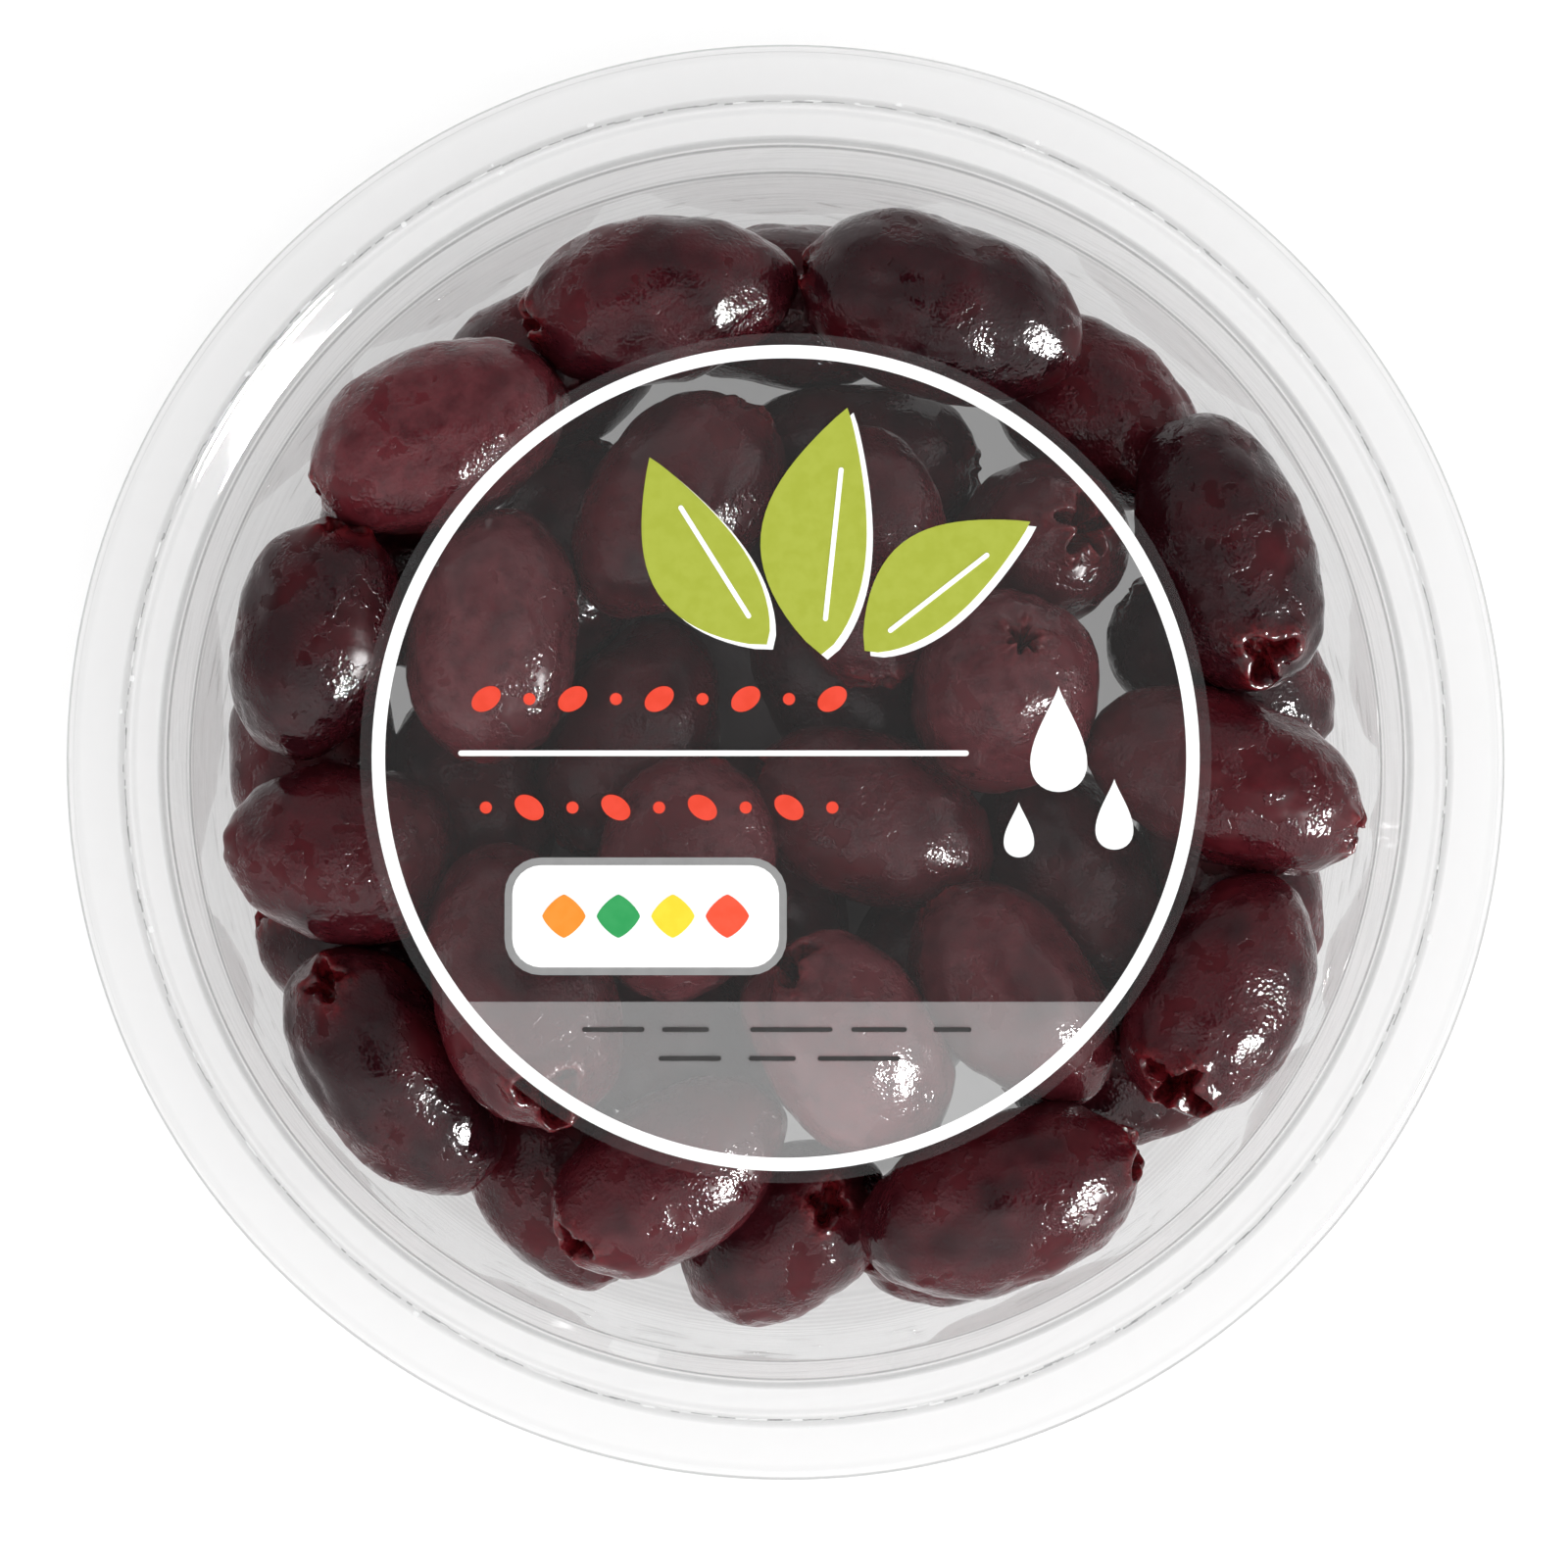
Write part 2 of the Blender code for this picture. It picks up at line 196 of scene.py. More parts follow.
# Surface of an olive: lengths of the waves in its skin and their heights, in millimetres
SKIN_WAVES = ((11.0, 0.15), (5.0, 0.08), (2.2, 0.035))
DENTS = 3
DENT_DEPTH = (0.10, 0.50)
DENT_REACH = (1.8, 3.8)
CREASES = 7
CREASE_DEPTH = (0.05, 0.24)
CREASE_WIDTH = (0.45, 0.85)
CREASE_WANDER = 0.22
POLE_CROWDING = 0.50
BLUNT_POWER, BLUNT_ROOT = 2.6, 0.50
POINTED_POWER, POINTED_ROOT = 2.0, 0.57
LIP_SHARE = 0.24
LIP_WIDTH = 1.0
LIP_PLACE = 0.75
HOLE_EDGE = 1.1
HOLE_SIGHT = 2.5
PUCKER_DEPTH = 0.26
PUCKER_REACH = 2.4
PUCKER_WANDER = 0.15
LOBE_TURN = 6.28
LOBE_POWER = 1.8
HOLE_LEAST, HOLE_OPENED, HOLE_ASKEW = 0.34, 0.66, 0.10
HOLE_DEPTH = 1.3
HOLE_SIGHT_LOSS = 4.0
LIP_WAVE, LIP_WAVE_HEIGHT = 2.6, 0.35
FLESH_WAVE, FLESH_WAVE_HEIGHT = 2.4, 0.25
SCAR_START, SCAR_RUN, SCAR_RADIUS, SCAR_RISE = 0.6, 0.3, 0.8, 0.5
TORN_HOLE, TORN_LIP, TORN_SCAR = 1.4, 0.55, 0.5
FINE_RINGS, FINE_SIDES = 80, 88
PLAIN_RINGS, PLAIN_SIDES = 56, 60

# Colour and gloss of the skin: sizes of its patterns in millimetres, and the noise where each comes up
BROAD_SIZE, BLOTCH_SIZE, GRAIN_SIZE, LUMP_SIZE, PORE_SIZE = 8.0, 2.6, 0.85, 1.9, 0.45
REDNESS_LEAN, REDNESS_PATCH = 0.34, 0.16
DARK_RANGE = (0.42, 0.80)
WORN_RANGE = (0.58, 0.92)
PATCH_RANGE = (0.44, 0.80)
PALE_RANGE = (0.9, 1.4)
SPECK_RANGE, SPECK_SHARE = (0.60, 0.78), 0.35
FIBRE_RANGE = (0.35, 0.65)
FIBRE_DARK = (0.045, 0.002, 0.003)
BARE_BROAD, BARE_BLOTCH = 0.55, 0.45
BARE_START = (0.545, 0.562)
# Painted shade: where the wet film is off, the colour is made darker and redder for the grey sheen missing
# there
BARE_PAINTED_SHADE = (0.85, 0.55, 0.62)
BARE_EDGE, BARE_EDGE_DEPTH = 0.7, 0.07
LUMP_STRENGTH, LUMP_DEPTH = 0.34, 0.16
PORES_WET, PORES_DRY, PORE_DEPTH = 0.55, 0.45, 0.15
WET_RANGE = (0.38, 0.62)
WET_GLOSS, GLOSS_SPREAD = 0.06, 0.11
BARE_GLOSS, BOUNCED_GLOSS = 0.3, 0.2
WET_SPECULAR, BARE_SPECULAR = 0.25, 0.13

# Mass inside the heap, in metres, with waves in millimetres; its colours are painted shade
CORE_WIDE, CORE_NARROW, CORE_DEPTH, CORE_HEIGHT = 0.028, 0.027, 0.008, 0.0085
CORE_WAVE, CORE_WAVE_SHARE = 9.0, 0.03
CORE_SHADE_DEEP = (0.006, 0.0015, 0.002)
CORE_SHADE_LIGHT = (0.02, 0.004, 0.006)

# Brine: spreads of the drops' sizes, and places and sizes of the smears in millimetres
BRINE_IOR = 1.36
BRINE_TINT = (0.80, 0.62, 0.62)
DROP_SPREAD, DROP_LIMITS = 0.45, (0.4, 2.6)
DROP_DARK = (0.020, 0.003, 0.004)
DROP_PALE = (0.060, 0.008, 0.010)
DROP_UPWARD = 0.3
DROP_LONG_WAY = (1, 0.2, 0)
MIST_SPREAD, MIST_LIMITS = 0.4, (0.5, 2.4)
# Painted glints: the fine drops' colours, pale grey to near white
MIST_PAINTED_GLINT_LOW = (0.30, 0.22, 0.23)
MIST_PAINTED_GLINT_HIGH = (0.95, 0.93, 0.93)
MIST_FACING, MIST_RANGE, MIST_POWER = 0.90, 0.10, 1.5
SMEAR_HEIGHT = (7.0, 26.5)
SMEAR_LENGTH = (0.4, 3.2)
SMEAR_WIDTH = (0.10, 0.32)
SMEAR_THICK = 0.10
SMEAR_SLOPE = 0.35
SMEAR_SINK = 0.05

# Print on the label: heights of its layers over the table, in millimetres
CARRIER_LAYER = (38.92, 38.97)
VEIL_LAYER = (38.97, 39.03)
RING_LAYER = (38.97, 39.08)
SHADOW_LAYER = (39.04, 39.08)
PRINT_LAYER = (39.08, 39.13)
TOP_LAYER = (39.13, 39.18)
LABEL_SIDES = 192

# Clear plastic: how suddenly it darkens when seen from the side, its shade, and its mirror gloss
STEEP_POWER = 10.0
CLEAR_SHADOW = (0.984, 0.984, 0.984)
# Painted shade at the tub's bends, for the dark lines that light bending in the plastic makes there
PAINTED_BEND_SHADE = (0.56, 0.565, 0.565)
STRAIGHT_TINT = (0.944, 0.944, 0.944)
SLANTED_MIRROR = 0.045
MIRROR_START = (0.02, 0.12)
MIRROR_LIMIT = 0.50
BRUSH_LENGTH, BRUSH_WIDTH = 7.0, 0.22
BRUSH_TINT = (0.86, 0.86, 0.86)
BRUSH_SLANT = 0.004
BRUSH_RANGE = (0.42, 0.72)
MIRROR_POWER = 5.0
FACING_BLEND = 0.5
WAVE_DEPTH = 0.3

# Ink: size of its unevenness in millimetres, and how far its shade and gloss vary
INK_SIZE = 1.2
INK_RANGE = (0.3, 0.7)
INK_PALE, INK_LIFT, INK_DEEP = 1.02, 0.002, 0.97
INK_GLOSS_SPREAD = 0.05
INK_SPECULAR = 0.25

# Stage: sizes in metres, the camera's picture in its pixels and its sensor in millimetres
FLOOR_HALF, FLOOR_SINK = 1.6, 0.0002
FLOOR_SHADES = (0.985, 1.01)
TENT_RANGE = (-0.6, 0.95)
HOLE_BLUR = 0.003
LAMP_DISTANCE, LAMP_AIM = 0.6, 0.03
RIM_PIXELS = 735.0
MIDDLE_X, MIDDLE_Y = 801.7, 772.8
PICTURE_PIXELS = 1600.0
SENSOR_WIDTH = 36


class Mark(NamedTuple):
    """One printed shape: its middle, its length and width in millimetres, and its turn in degrees."""

    across: float
    along: float
    length: float
    width: float
    turn: float


LEAVES = (
    Mark(-7.0, 18.6, 20.0, 8.6, 122),
    Mark(4.4, 20.4, 22.5, 9.6, 84),
    Mark(14.6, 15.4, 19.0, 8.2, 38),
)
LEAF_RIBS = (
    Mark(-6.4, 17.6, 12.0, 0.45, 122),
    Mark(4.3, 19.2, 14.0, 0.45, 84),
    Mark(13.8, 14.8, 11.5, 0.45, 38),
)
LEAF_SHADOW = (0.55, -0.45)
BEAD_ROWS = (5.2, -4.6)
BEAD_START, BEAD_STEP, BEAD_COUNT = -27.0, 3.9, 9
BEAD_LARGE = (2.9, 2.0)
BEAD_SMALL = (1.1, 1.1)
RULE = Mark(-6.5, 0.3, 46.0, 0.5, 0)
DROPS = (
    Mark(24.6, 1.6, 9.6, 6.0, 90),
    Mark(29.6, -5.2, 6.4, 4.0, 90),
    Mark(21.0, -6.6, 5.0, 3.2, 90),
)
PANEL = Mark(-12.6, -14.4, 24.0, 9.2, 0)
PANEL_BORDER = 0.7
PANEL_ROUND = 2.6
CHIP_STEP = 4.9
CHIP_SIZE = 3.9
FOOT_DASHES = ((-24.6, (-15.5, -9.0, 0.5, 8.4, 15.0)), (-27.2, (-8.6, -1.2, 6.6)))
FOOT_DASH_LENGTHS = (5.6, 4.2, 7.4, 5.0, 3.4)
FOOT_DASH_WIDTH = 0.42
DASH_COLOUR = (0.03, 0.028, 0.028)
BEAD_TURN = 35
CHIP_COLOURS = ((0.823, 0.262, 0.020), (0.023, 0.319, 0.087), (0.982, 0.651, 0.027), (0.823, 0.080, 0.032))
CHIP_POWER = 1.5


class TubSettings(bpy.types.PropertyGroup):
    """Sizes and colour of the tub and of the film on it."""

    rim_radius: FloatProperty(
        name="Rim radius", description="Half the width of the flange", default=TUB_HIGH.x, unit="LENGTH"
    )
    height: FloatProperty(
        name="Height", description="From the table to the flange", default=TUB_HIGH.z, unit="LENGTH"
    )
    wall: FloatProperty(
        name="Wall", description="Thickness of the plastic", default=0.0006, unit="LENGTH"
    )
    sides: IntProperty(name="Sides", description="Faces round the tub", default=224)
    steep_tint: FloatVectorProperty(
        name="Steep tint",
        description="What the plastic lets through where it is seen from the side",
        subtype="COLOR",
        default=(0.66, 0.665, 0.665),
    )
    film_radius: FloatProperty(
        name="Film radius", description="Half the width of the film", default=FILM_HIGH.x, unit="LENGTH"
    )
    mark_count: IntProperty(name="Seal marks", description="Short marks along the seal", default=300)


class LabelSettings(bpy.types.PropertyGroup):
    """Sizes and colours of the print."""

    radius: FloatProperty(
        name="Label radius", description="Half the width of the label", default=LABEL_HIGH.x, unit="LENGTH"
    )
    ring_outside: FloatProperty(
        name="Ring outside", description="Outer radius of the white ring", default=0.0373, unit="LENGTH"
    )
    ring_inside: FloatProperty(
        name="Ring inside", description="Inner radius of the white ring", default=0.0361, unit="LENGTH"
    )
    band_top: FloatProperty(
        name="Band top",
        description="Where the pale band starts below the middle",
        default=-0.0221,
        unit="LENGTH",
    )
    veil: FloatVectorProperty(
        name="Veil",
        description="Colour of the see-through dark field",
        subtype="COLOR",
        default=(0.165, 0.160, 0.160),
    )
    white: FloatVectorProperty(
        name="White",
        description="Colour of the ring and the pale shapes",
        subtype="COLOR",
        default=(1.0, 1.0, 1.0),
    )
    green: FloatVectorProperty(
        name="Green", description="Colour of the leaves", subtype="COLOR", default=(0.36, 0.41, 0.040)
    )
    red: FloatVectorProperty(
        name="Red", description="Colour of the beads", subtype="COLOR", default=(0.74, 0.052, 0.022)
    )
    grey: FloatVectorProperty(
        name="Grey", description="Colour of the panel's border", subtype="COLOR", default=(0.26, 0.26, 0.26)
    )


class OliveSettings(bpy.types.PropertyGroup):
    """Colours and unevenness of the olives."""

    skin: FloatVectorProperty(
        name="Skin",
        description="Usual colour of the skin",
        subtype="COLOR",
        default=(0.054, 0.0060, 0.0094),
    )
    skin_dark: FloatVectorProperty(
        name="Dark skin",
        description="Colour of the ripest skin",
        subtype="COLOR",
        default=(0.017, 0.0026, 0.0042),
    )
    skin_red: FloatVectorProperty(
        name="Worn skin",
        description="Colour where the skin is worn",
        subtype="COLOR",
        default=(0.093, 0.0140, 0.0190),
    )
    skin_pale: FloatVectorProperty(
        name="Pale skin",
        description="Colour of the palest olives",
        subtype="COLOR",
        default=(0.125, 0.0270, 0.0330),
    )
    flesh: FloatVectorProperty(
        name="Flesh", description="Colour of the torn flesh", subtype="COLOR", default=(0.17, 0.010, 0.014)
    )
    unevenness: FloatProperty(
        name="Unevenness", description="How strong the lumps and dents are", default=1.0, min=0.0, max=2.0
    )


class BrineSettings(bpy.types.PropertyGroup):
    """Amounts of brine."""

    drop_count: IntProperty(name="Drops", description="Drops on the olives", default=760)
    drop_radius: FloatProperty(
        name="Drop radius", description="Radius of a usual drop", default=0.00021, unit="LENGTH"
    )
    mist_count: IntProperty(name="Fine drops", description="Fine drops round the glints", default=900)
    mist_radius: FloatProperty(
        name="Fine drop radius", description="Radius of a usual fine drop", default=0.00009, unit="LENGTH"
    )
    streak_count: IntProperty(name="Streaks", description="Streaks on the wall", default=110)


class StageSettings(bpy.types.PropertyGroup):
    """Floor, light and camera."""

    floor: FloatVectorProperty(
        name="Floor", description="Colour of the floor", subtype="COLOR", default=(0.68, 0.68, 0.68)
    )
    floor_glow: FloatProperty(name="Floor glow", description="Light from under the floor", default=0.33)
    sky_front: FloatProperty(
        name="Front of the tent",
        description="Brightness of the bright side",
        default=2.15,
    )
    sky_back: FloatProperty(name="Back of the tent", description="Brightness of the far side", default=0.74)
    sky_turn: FloatProperty(
        name="Turn of the tent",
        description="Direction of the bright side",
        default=math.radians(-65),
        unit="ROTATION",
    )
    opening: FloatProperty(
        name="Opening",
        description="Half angle of the dark hole over the tub",
        default=math.radians(11),
        unit="ROTATION",
    )
    key_power: FloatProperty(
        name="Key power",
        description="Power of the small lamp",
        default=21.0,
        unit="POWER",
    )
    key_size: FloatProperty(
        name="Key size",
        description="Width of the small lamp",
        default=0.205,
        unit="LENGTH",
    )
    key_turn: FloatProperty(
        name="Key turn",
        description="Direction of the small lamp",
        default=math.radians(-32),
        unit="ROTATION",
    )
    key_rise: FloatProperty(
        name="Key rise",
        description="Height angle of the small lamp",
        default=math.radians(25),
        unit="ROTATION",
    )
    distance: FloatProperty(
        name="Distance",
        description="From the camera to the rim",
        default=0.70,
        unit="LENGTH",
    )
    tilt: FloatProperty(
        name="Tilt",
        description="Tilt of the camera from straight down",
        default=math.radians(3.7),
        unit="ROTATION",
    )


def unit(vectors):
    """Vectors of length 1."""
    return vectors / np.linalg.norm(vectors, axis=-1, keepdims=True)


def smooth(values):
    """Eases values from 0 to 1."""
    clipped = np.clip(values, 0, 1)
    return clipped * clipped * (3 - 2 * clipped)


def waves(points, length, seed, count=9):
    """Even random waves through space, about -1 to 1. Points and length share one unit."""
    draw = np.random.default_rng(seed)
    directions = unit(draw.normal(size=(count, 3)))
    shifts = draw.uniform(0, 2 * np.pi, count)
    return np.sin(2 * np.pi / length * points @ directions.T + shifts).sum(-1) / math.sqrt(count / 2)


def add_node(tree, kind, sockets=None, **fields):
    """Adds a node, sets its fields, and sets or links its sockets."""
    made = tree.nodes.new(kind)
    for field, value in fields.items():
        setattr(made, field, value)
    for name, value in (sockets or {}).items():
        if isinstance(value, bpy.types.NodeSocket):
            tree.links.new(value, made.inputs[name])
        else:
            made.inputs[name].default_value = value
    return made


def start_material(name):
    """A new empty material and its node tree."""
    material = bpy.data.materials.new(name)
    material.use_nodes = True
    material.node_tree.nodes.clear()
    return material, material.node_tree


def end_material(tree, surface):
    """Makes the surface the material's result."""
    add_node(tree, "ShaderNodeOutputMaterial", {"Surface": surface.outputs[0]})


def place_coordinates(tree):
    """Places in the piece's own space, in metres."""
    return add_node(tree, "ShaderNodeTexCoord").outputs["Object"]


def noise(tree, place, size, detail=3.0, roughness=0.5):
    """Noise whose features are about size across, in millimetres."""
    sockets = {"Vector": place, "Scale": 1000.0 / size, "Detail": detail, "Roughness": roughness}
    return add_node(tree, "ShaderNodeTexNoise", sockets).outputs["Fac"]


def ramp(tree, value, low, high, start=0.0, end=1.0):
    """Value from low to high becomes start to end, eased."""
    made = add_node(
        tree,
        "ShaderNodeMapRange",
        {"Value": value, "From Min": low, "From Max": high, "To Min": start, "To Max": end},
        interpolation_type="SMOOTHSTEP",
    )
    return made.outputs["Result"]


def blend_colours(tree, share, first, second):
    """From the first colour to the second by a share."""
    made = add_node(tree, "ShaderNodeMix", {0: share, 6: first, 7: second}, data_type="RGBA")
    return made.outputs[2]


def maths(tree, kind, first, second):
    """Two values put together by one kind of sum."""
    return add_node(tree, "ShaderNodeMath", {0: first, 1: second}, operation=kind).outputs[0]


def multiplied(tree, first, second):
    """Product of two colours."""
    sockets = {0: 1.0, 6: first, 7: second}
    return add_node(tree, "ShaderNodeMix", sockets, data_type="RGBA", blend_type="MULTIPLY").outputs[2]


def point_value(tree, name):
    """A value that is stored at the points of the mesh."""
    return add_node(tree, "ShaderNodeAttribute", attribute_name=name).outputs["Fac"]


def principled(tree, sockets):
    """A surface with colour and gloss."""
    return add_node(tree, "ShaderNodeBsdfPrincipled", sockets)


def mixed(tree, share, first, second):
    """Two surfaces, mixed by the share of the second."""
    return add_node(tree, "ShaderNodeMixShader", {0: share, 1: first.outputs[0], 2: second.outputs[0]})


def alignment(tree, direction, side):
    """How far a direction points to one side, from -1 to 1."""
    sockets = {0: direction, 1: side}
    return add_node(tree, "ShaderNodeVectorMath", sockets, operation="DOT_PRODUCT").outputs["Value"]


def bounced_light(tree, path):
    """1 for light on its way from another surface, from the outputs of a light path node."""
    return maths(tree, "MAXIMUM", path["Is Diffuse Ray"], path["Is Glossy Ray"])


def bump(tree, height, strength, distance, normal=None):
    """Relief from a height, with its depth in millimetres, over an earlier relief if one is given."""
    sockets = {"Height": height, "Strength": strength, "Distance": distance * MM}
    if normal is not None:
        sockets["Normal"] = normal
    return add_node(tree, "ShaderNodeBump", sockets).outputs["Normal"]


def opaque(colour):
    """A colour with full alpha."""
    return (*colour, 1.0)


def mirror_share(tree, normal):
    """How far a clear surface is seen from the side, and the share of light that it throws back."""
    weight = add_node(tree, "ShaderNodeLayerWeight", {"Blend": FACING_BLEND, "Normal": normal})
    facing = weight.outputs["Facing"]
    steep = maths(tree, "POWER", facing, MIRROR_POWER)
    slanted = ramp(tree, facing, *MIRROR_START, 0.0, SLANTED_MIRROR)
    return facing, maths(tree, "ADD", maths(tree, "MULTIPLY", steep, MIRROR_LIMIT), slanted)


def with_plain_light(tree, surface, through):
    """The surface on its outer face. The inner face, shadows and bounced light get a plain clear one."""
    path = add_node(tree, "ShaderNodeLightPath").outputs
    indirect = maths(tree, "MAXIMUM", path["Is Shadow Ray"], bounced_light(tree, path))
    inner = add_node(tree, "ShaderNodeNewGeometry").outputs["Backfacing"]
    clear = blend_colours(tree, indirect, WHITE, opaque(through))
    plain = add_node(tree, "ShaderNodeBsdfTransparent", {"Color": clear})
    return mixed(tree, maths(tree, "MAXIMUM", indirect, inner), surface, plain)


def brushed(tree):
    """Fine streaks that run round the tub, 0 to 1."""
    place = add_node(tree, "ShaderNodeSeparateXYZ", {0: place_coordinates(tree)}).outputs
    turn = maths(tree, "ARCTAN2", place["Y"], place["X"])
    across = maths(tree, "MULTIPLY", turn, TUB_HIGH.x * BRUSH_WIDTH / BRUSH_LENGTH)
    slant = maths(tree, "ADD", place["Z"], maths(tree, "MULTIPLY", turn, BRUSH_SLANT))
    line = add_node(tree, "ShaderNodeCombineXYZ", {"X": across, "Z": slant}).outputs[0]
    return ramp(tree, noise(tree, line, BRUSH_WIDTH * 2, detail=2.0, roughness=0.7), *BRUSH_RANGE)


def clear_material(name, steep_tint, wave_size, wave_strength, gloss_roughness, turned=False):
    """Clear plastic or water: see-through, greyer when it is seen from the side, with mirror gloss."""
    material, tree = start_material(name)
    ripple = noise(tree, place_coordinates(tree), wave_size, detail=0.0)
    normal = bump(tree, ripple, wave_strength, WAVE_DEPTH)
    facing, mirrored = mirror_share(tree, normal)
    steep = maths(tree, "POWER", facing, STEEP_POWER)
    tint = blend_colours(tree, steep, opaque(STRAIGHT_TINT), opaque(steep_tint))
    if turned:
        brushing = maths(tree, "MULTIPLY", brushed(tree), facing)
        tint = multiplied(tree, tint, blend_colours(tree, brushing, WHITE, opaque(BRUSH_TINT)))
        # Painted shade along the bends: the plastic is darkened by the bend value stored at its points
        bent = blend_colours(tree, point_value(tree, "bend"), WHITE, opaque(PAINTED_BEND_SHADE))
        tint = multiplied(tree, tint, bent)
    through = add_node(tree, "ShaderNodeBsdfTransparent", {"Color": tint})
    shine = {"Color": WHITE, "Roughness": gloss_roughness, "Normal": normal}
    gloss = add_node(tree, "ShaderNodeBsdfGlossy", shine)
    surface = mixed(tree, mirrored, through, gloss)
    end_material(tree, with_plain_light(tree, surface, CLEAR_SHADOW))
    return material


def print_material(name, colour, alpha=1.0, roughness=0.35):
    """Ink on film: slightly uneven in shade and gloss."""
    material, tree = start_material(name)
    uneven = noise(tree, place_coordinates(tree), INK_SIZE, detail=2.0, roughness=0.6)
    pale = tuple(min(1.0, channel * INK_PALE + INK_LIFT) for channel in colour)
    deep = tuple(channel * INK_DEEP for channel in colour)
    shade = blend_colours(tree, ramp(tree, uneven, *INK_RANGE), opaque(deep), opaque(pale))
    gloss = ramp(tree, uneven, *INK_RANGE, roughness - INK_GLOSS_SPREAD, roughness + INK_GLOSS_SPREAD)
    look = {"Base Color": shade, "Roughness": gloss, "Alpha": alpha, "Specular IOR Level": INK_SPECULAR}
    ink = principled(tree, look)
    if alpha < 1.0:
        ink = with_plain_light(tree, ink, (1.0 - alpha,) * 3)
    end_material(tree, ink)
    return material


def skin_colour(tree, settings, broad, blotch, grain, bare):
    """Mottled skin from black to red or pale, with painted shade: deeper red where the wet film and its sheen
    are off.
    """
    redness = point_value(tree, "redness")
    dark, usual = opaque(settings.skin_dark), opaque(settings.skin)
    leaning = maths(tree, "ADD", broad, maths(tree, "MULTIPLY", redness, REDNESS_LEAN))
    base = blend_colours(tree, ramp(tree, leaning, *DARK_RANGE), dark, usual)
    patchy = maths(tree, "ADD", blotch, maths(tree, "MULTIPLY", redness, REDNESS_PATCH))
    worn = maths(tree, "MULTIPLY", ramp(tree, leaning, *WORN_RANGE), ramp(tree, patchy, *PATCH_RANGE))
    paleness = ramp(tree, redness, *PALE_RANGE)
    thin = blend_colours(tree, paleness, opaque(settings.skin_red), opaque(settings.skin_pale))
    reddened = blend_colours(tree, worn, base, thin)
    speckled = blend_colours(tree, ramp(tree, grain, *SPECK_RANGE, 0.0, SPECK_SHARE), reddened, dark)
    # Painted shade in the bare patches, for the sheen that the wet film gives elsewhere
    return multiplied(tree, speckled, blend_colours(tree, bare, WHITE, opaque(BARE_PAINTED_SHADE)))


def skin_relief(tree, place, broad, bare):
    """Relief of the dull skin with its lumps, and of the wet skin with pores over them."""
    edges = bump(tree, bare, BARE_EDGE, -BARE_EDGE_DEPTH)
    lumps = noise(tree, place, LUMP_SIZE, detail=2.0, roughness=0.6)
    lump = bump(tree, lumps, LUMP_STRENGTH, LUMP_DEPTH, edges)
    wet = maths(tree, "MULTIPLY", ramp(tree, broad, *WET_RANGE), PORES_WET)
    leather = maths(tree, "ADD", wet, PORES_DRY)
    pores = noise(tree, place, PORE_SIZE, detail=1.0, roughness=0.6)
    return lump, bump(tree, pores, leather, PORE_DEPTH, lump)


def skin_material(settings):
    """Wet olive skin, torn at the pit and duller where the wet film is off. Plain for bounced light."""
    material, tree = start_material("wet olive skin")
    place = place_coordinates(tree)
    broad = noise(tree, place, BROAD_SIZE, detail=2.0, roughness=0.6)
    blotch = noise(tree, place, BLOTCH_SIZE, detail=3.0, roughness=0.62)
    grain = noise(tree, place, GRAIN_SIZE, detail=3.0, roughness=0.75)
    broad_part = maths(tree, "MULTIPLY", broad, BARE_BROAD)
    wiped = maths(tree, "ADD", broad_part, maths(tree, "MULTIPLY", blotch, BARE_BLOTCH))
    bare = ramp(tree, wiped, *BARE_START)
    colour = skin_colour(tree, settings, broad, blotch, grain, bare)
    fibre = blend_colours(tree, ramp(tree, grain, *FIBRE_RANGE), opaque(settings.flesh), opaque(FIBRE_DARK))
    shown = blend_colours(tree, point_value(tree, "torn"), colour, fibre)
    lump, pores = skin_relief(tree, place, broad, bare)
    gloss = maths(tree, "MULTIPLY", ramp(tree, blotch, *WET_RANGE), GLOSS_SPREAD)
    gloss = maths(tree, "ADD", gloss, WET_GLOSS)
    wet = {"Base Color": shown, "Roughness": gloss, "Normal": pores, "Specular IOR Level": WET_SPECULAR}
    dull = {"Base Color": shown, "Roughness": BARE_GLOSS, "Normal": lump, "Specular IOR Level": BARE_SPECULAR}
    usual = opaque(settings.skin)
    plain = {"Base Color": usual, "Roughness": BOUNCED_GLOSS, "Specular IOR Level": WET_SPECULAR}
    skin = mixed(tree, bare, principled(tree, wet), principled(tree, dull))
    path = add_node(tree, "ShaderNodeLightPath").outputs
    end_material(tree, mixed(tree, bounced_light(tree, path), skin, principled(tree, plain)))
    return material


def shade_core_material():
    """Painted shade deep in the heap: a cloudy near-black colour with a lumpy relief."""
    material, tree = start_material("painted shade core")
    cloud = noise(tree, place_coordinates(tree), 4.0, detail=4.0)
    colour = blend_colours(tree, cloud, opaque(CORE_SHADE_DEEP), opaque(CORE_SHADE_LIGHT))
    look = {"Base Color": colour, "Roughness": 0.35, "Normal": bump(tree, cloud, 0.5, 0.4)}
    end_material(tree, principled(tree, look))
    return material


def floor_material(settings):
    """Matt pale paper."""
    material, tree = start_material("pale floor")
    pulp = noise(tree, place_coordinates(tree), 2.0, detail=4.0)
    shades = [opaque(tuple(channel * share for channel in settings.floor)) for share in FLOOR_SHADES]
    look = {
        "Base Color": blend_colours(tree, pulp, *shades),
        "Roughness": 0.8,
        "Specular IOR Level": 0.1,
        "Emission Color": WHITE,
        "Emission Strength": settings.floor_glow,
    }
    end_material(tree, principled(tree, look))
    return material


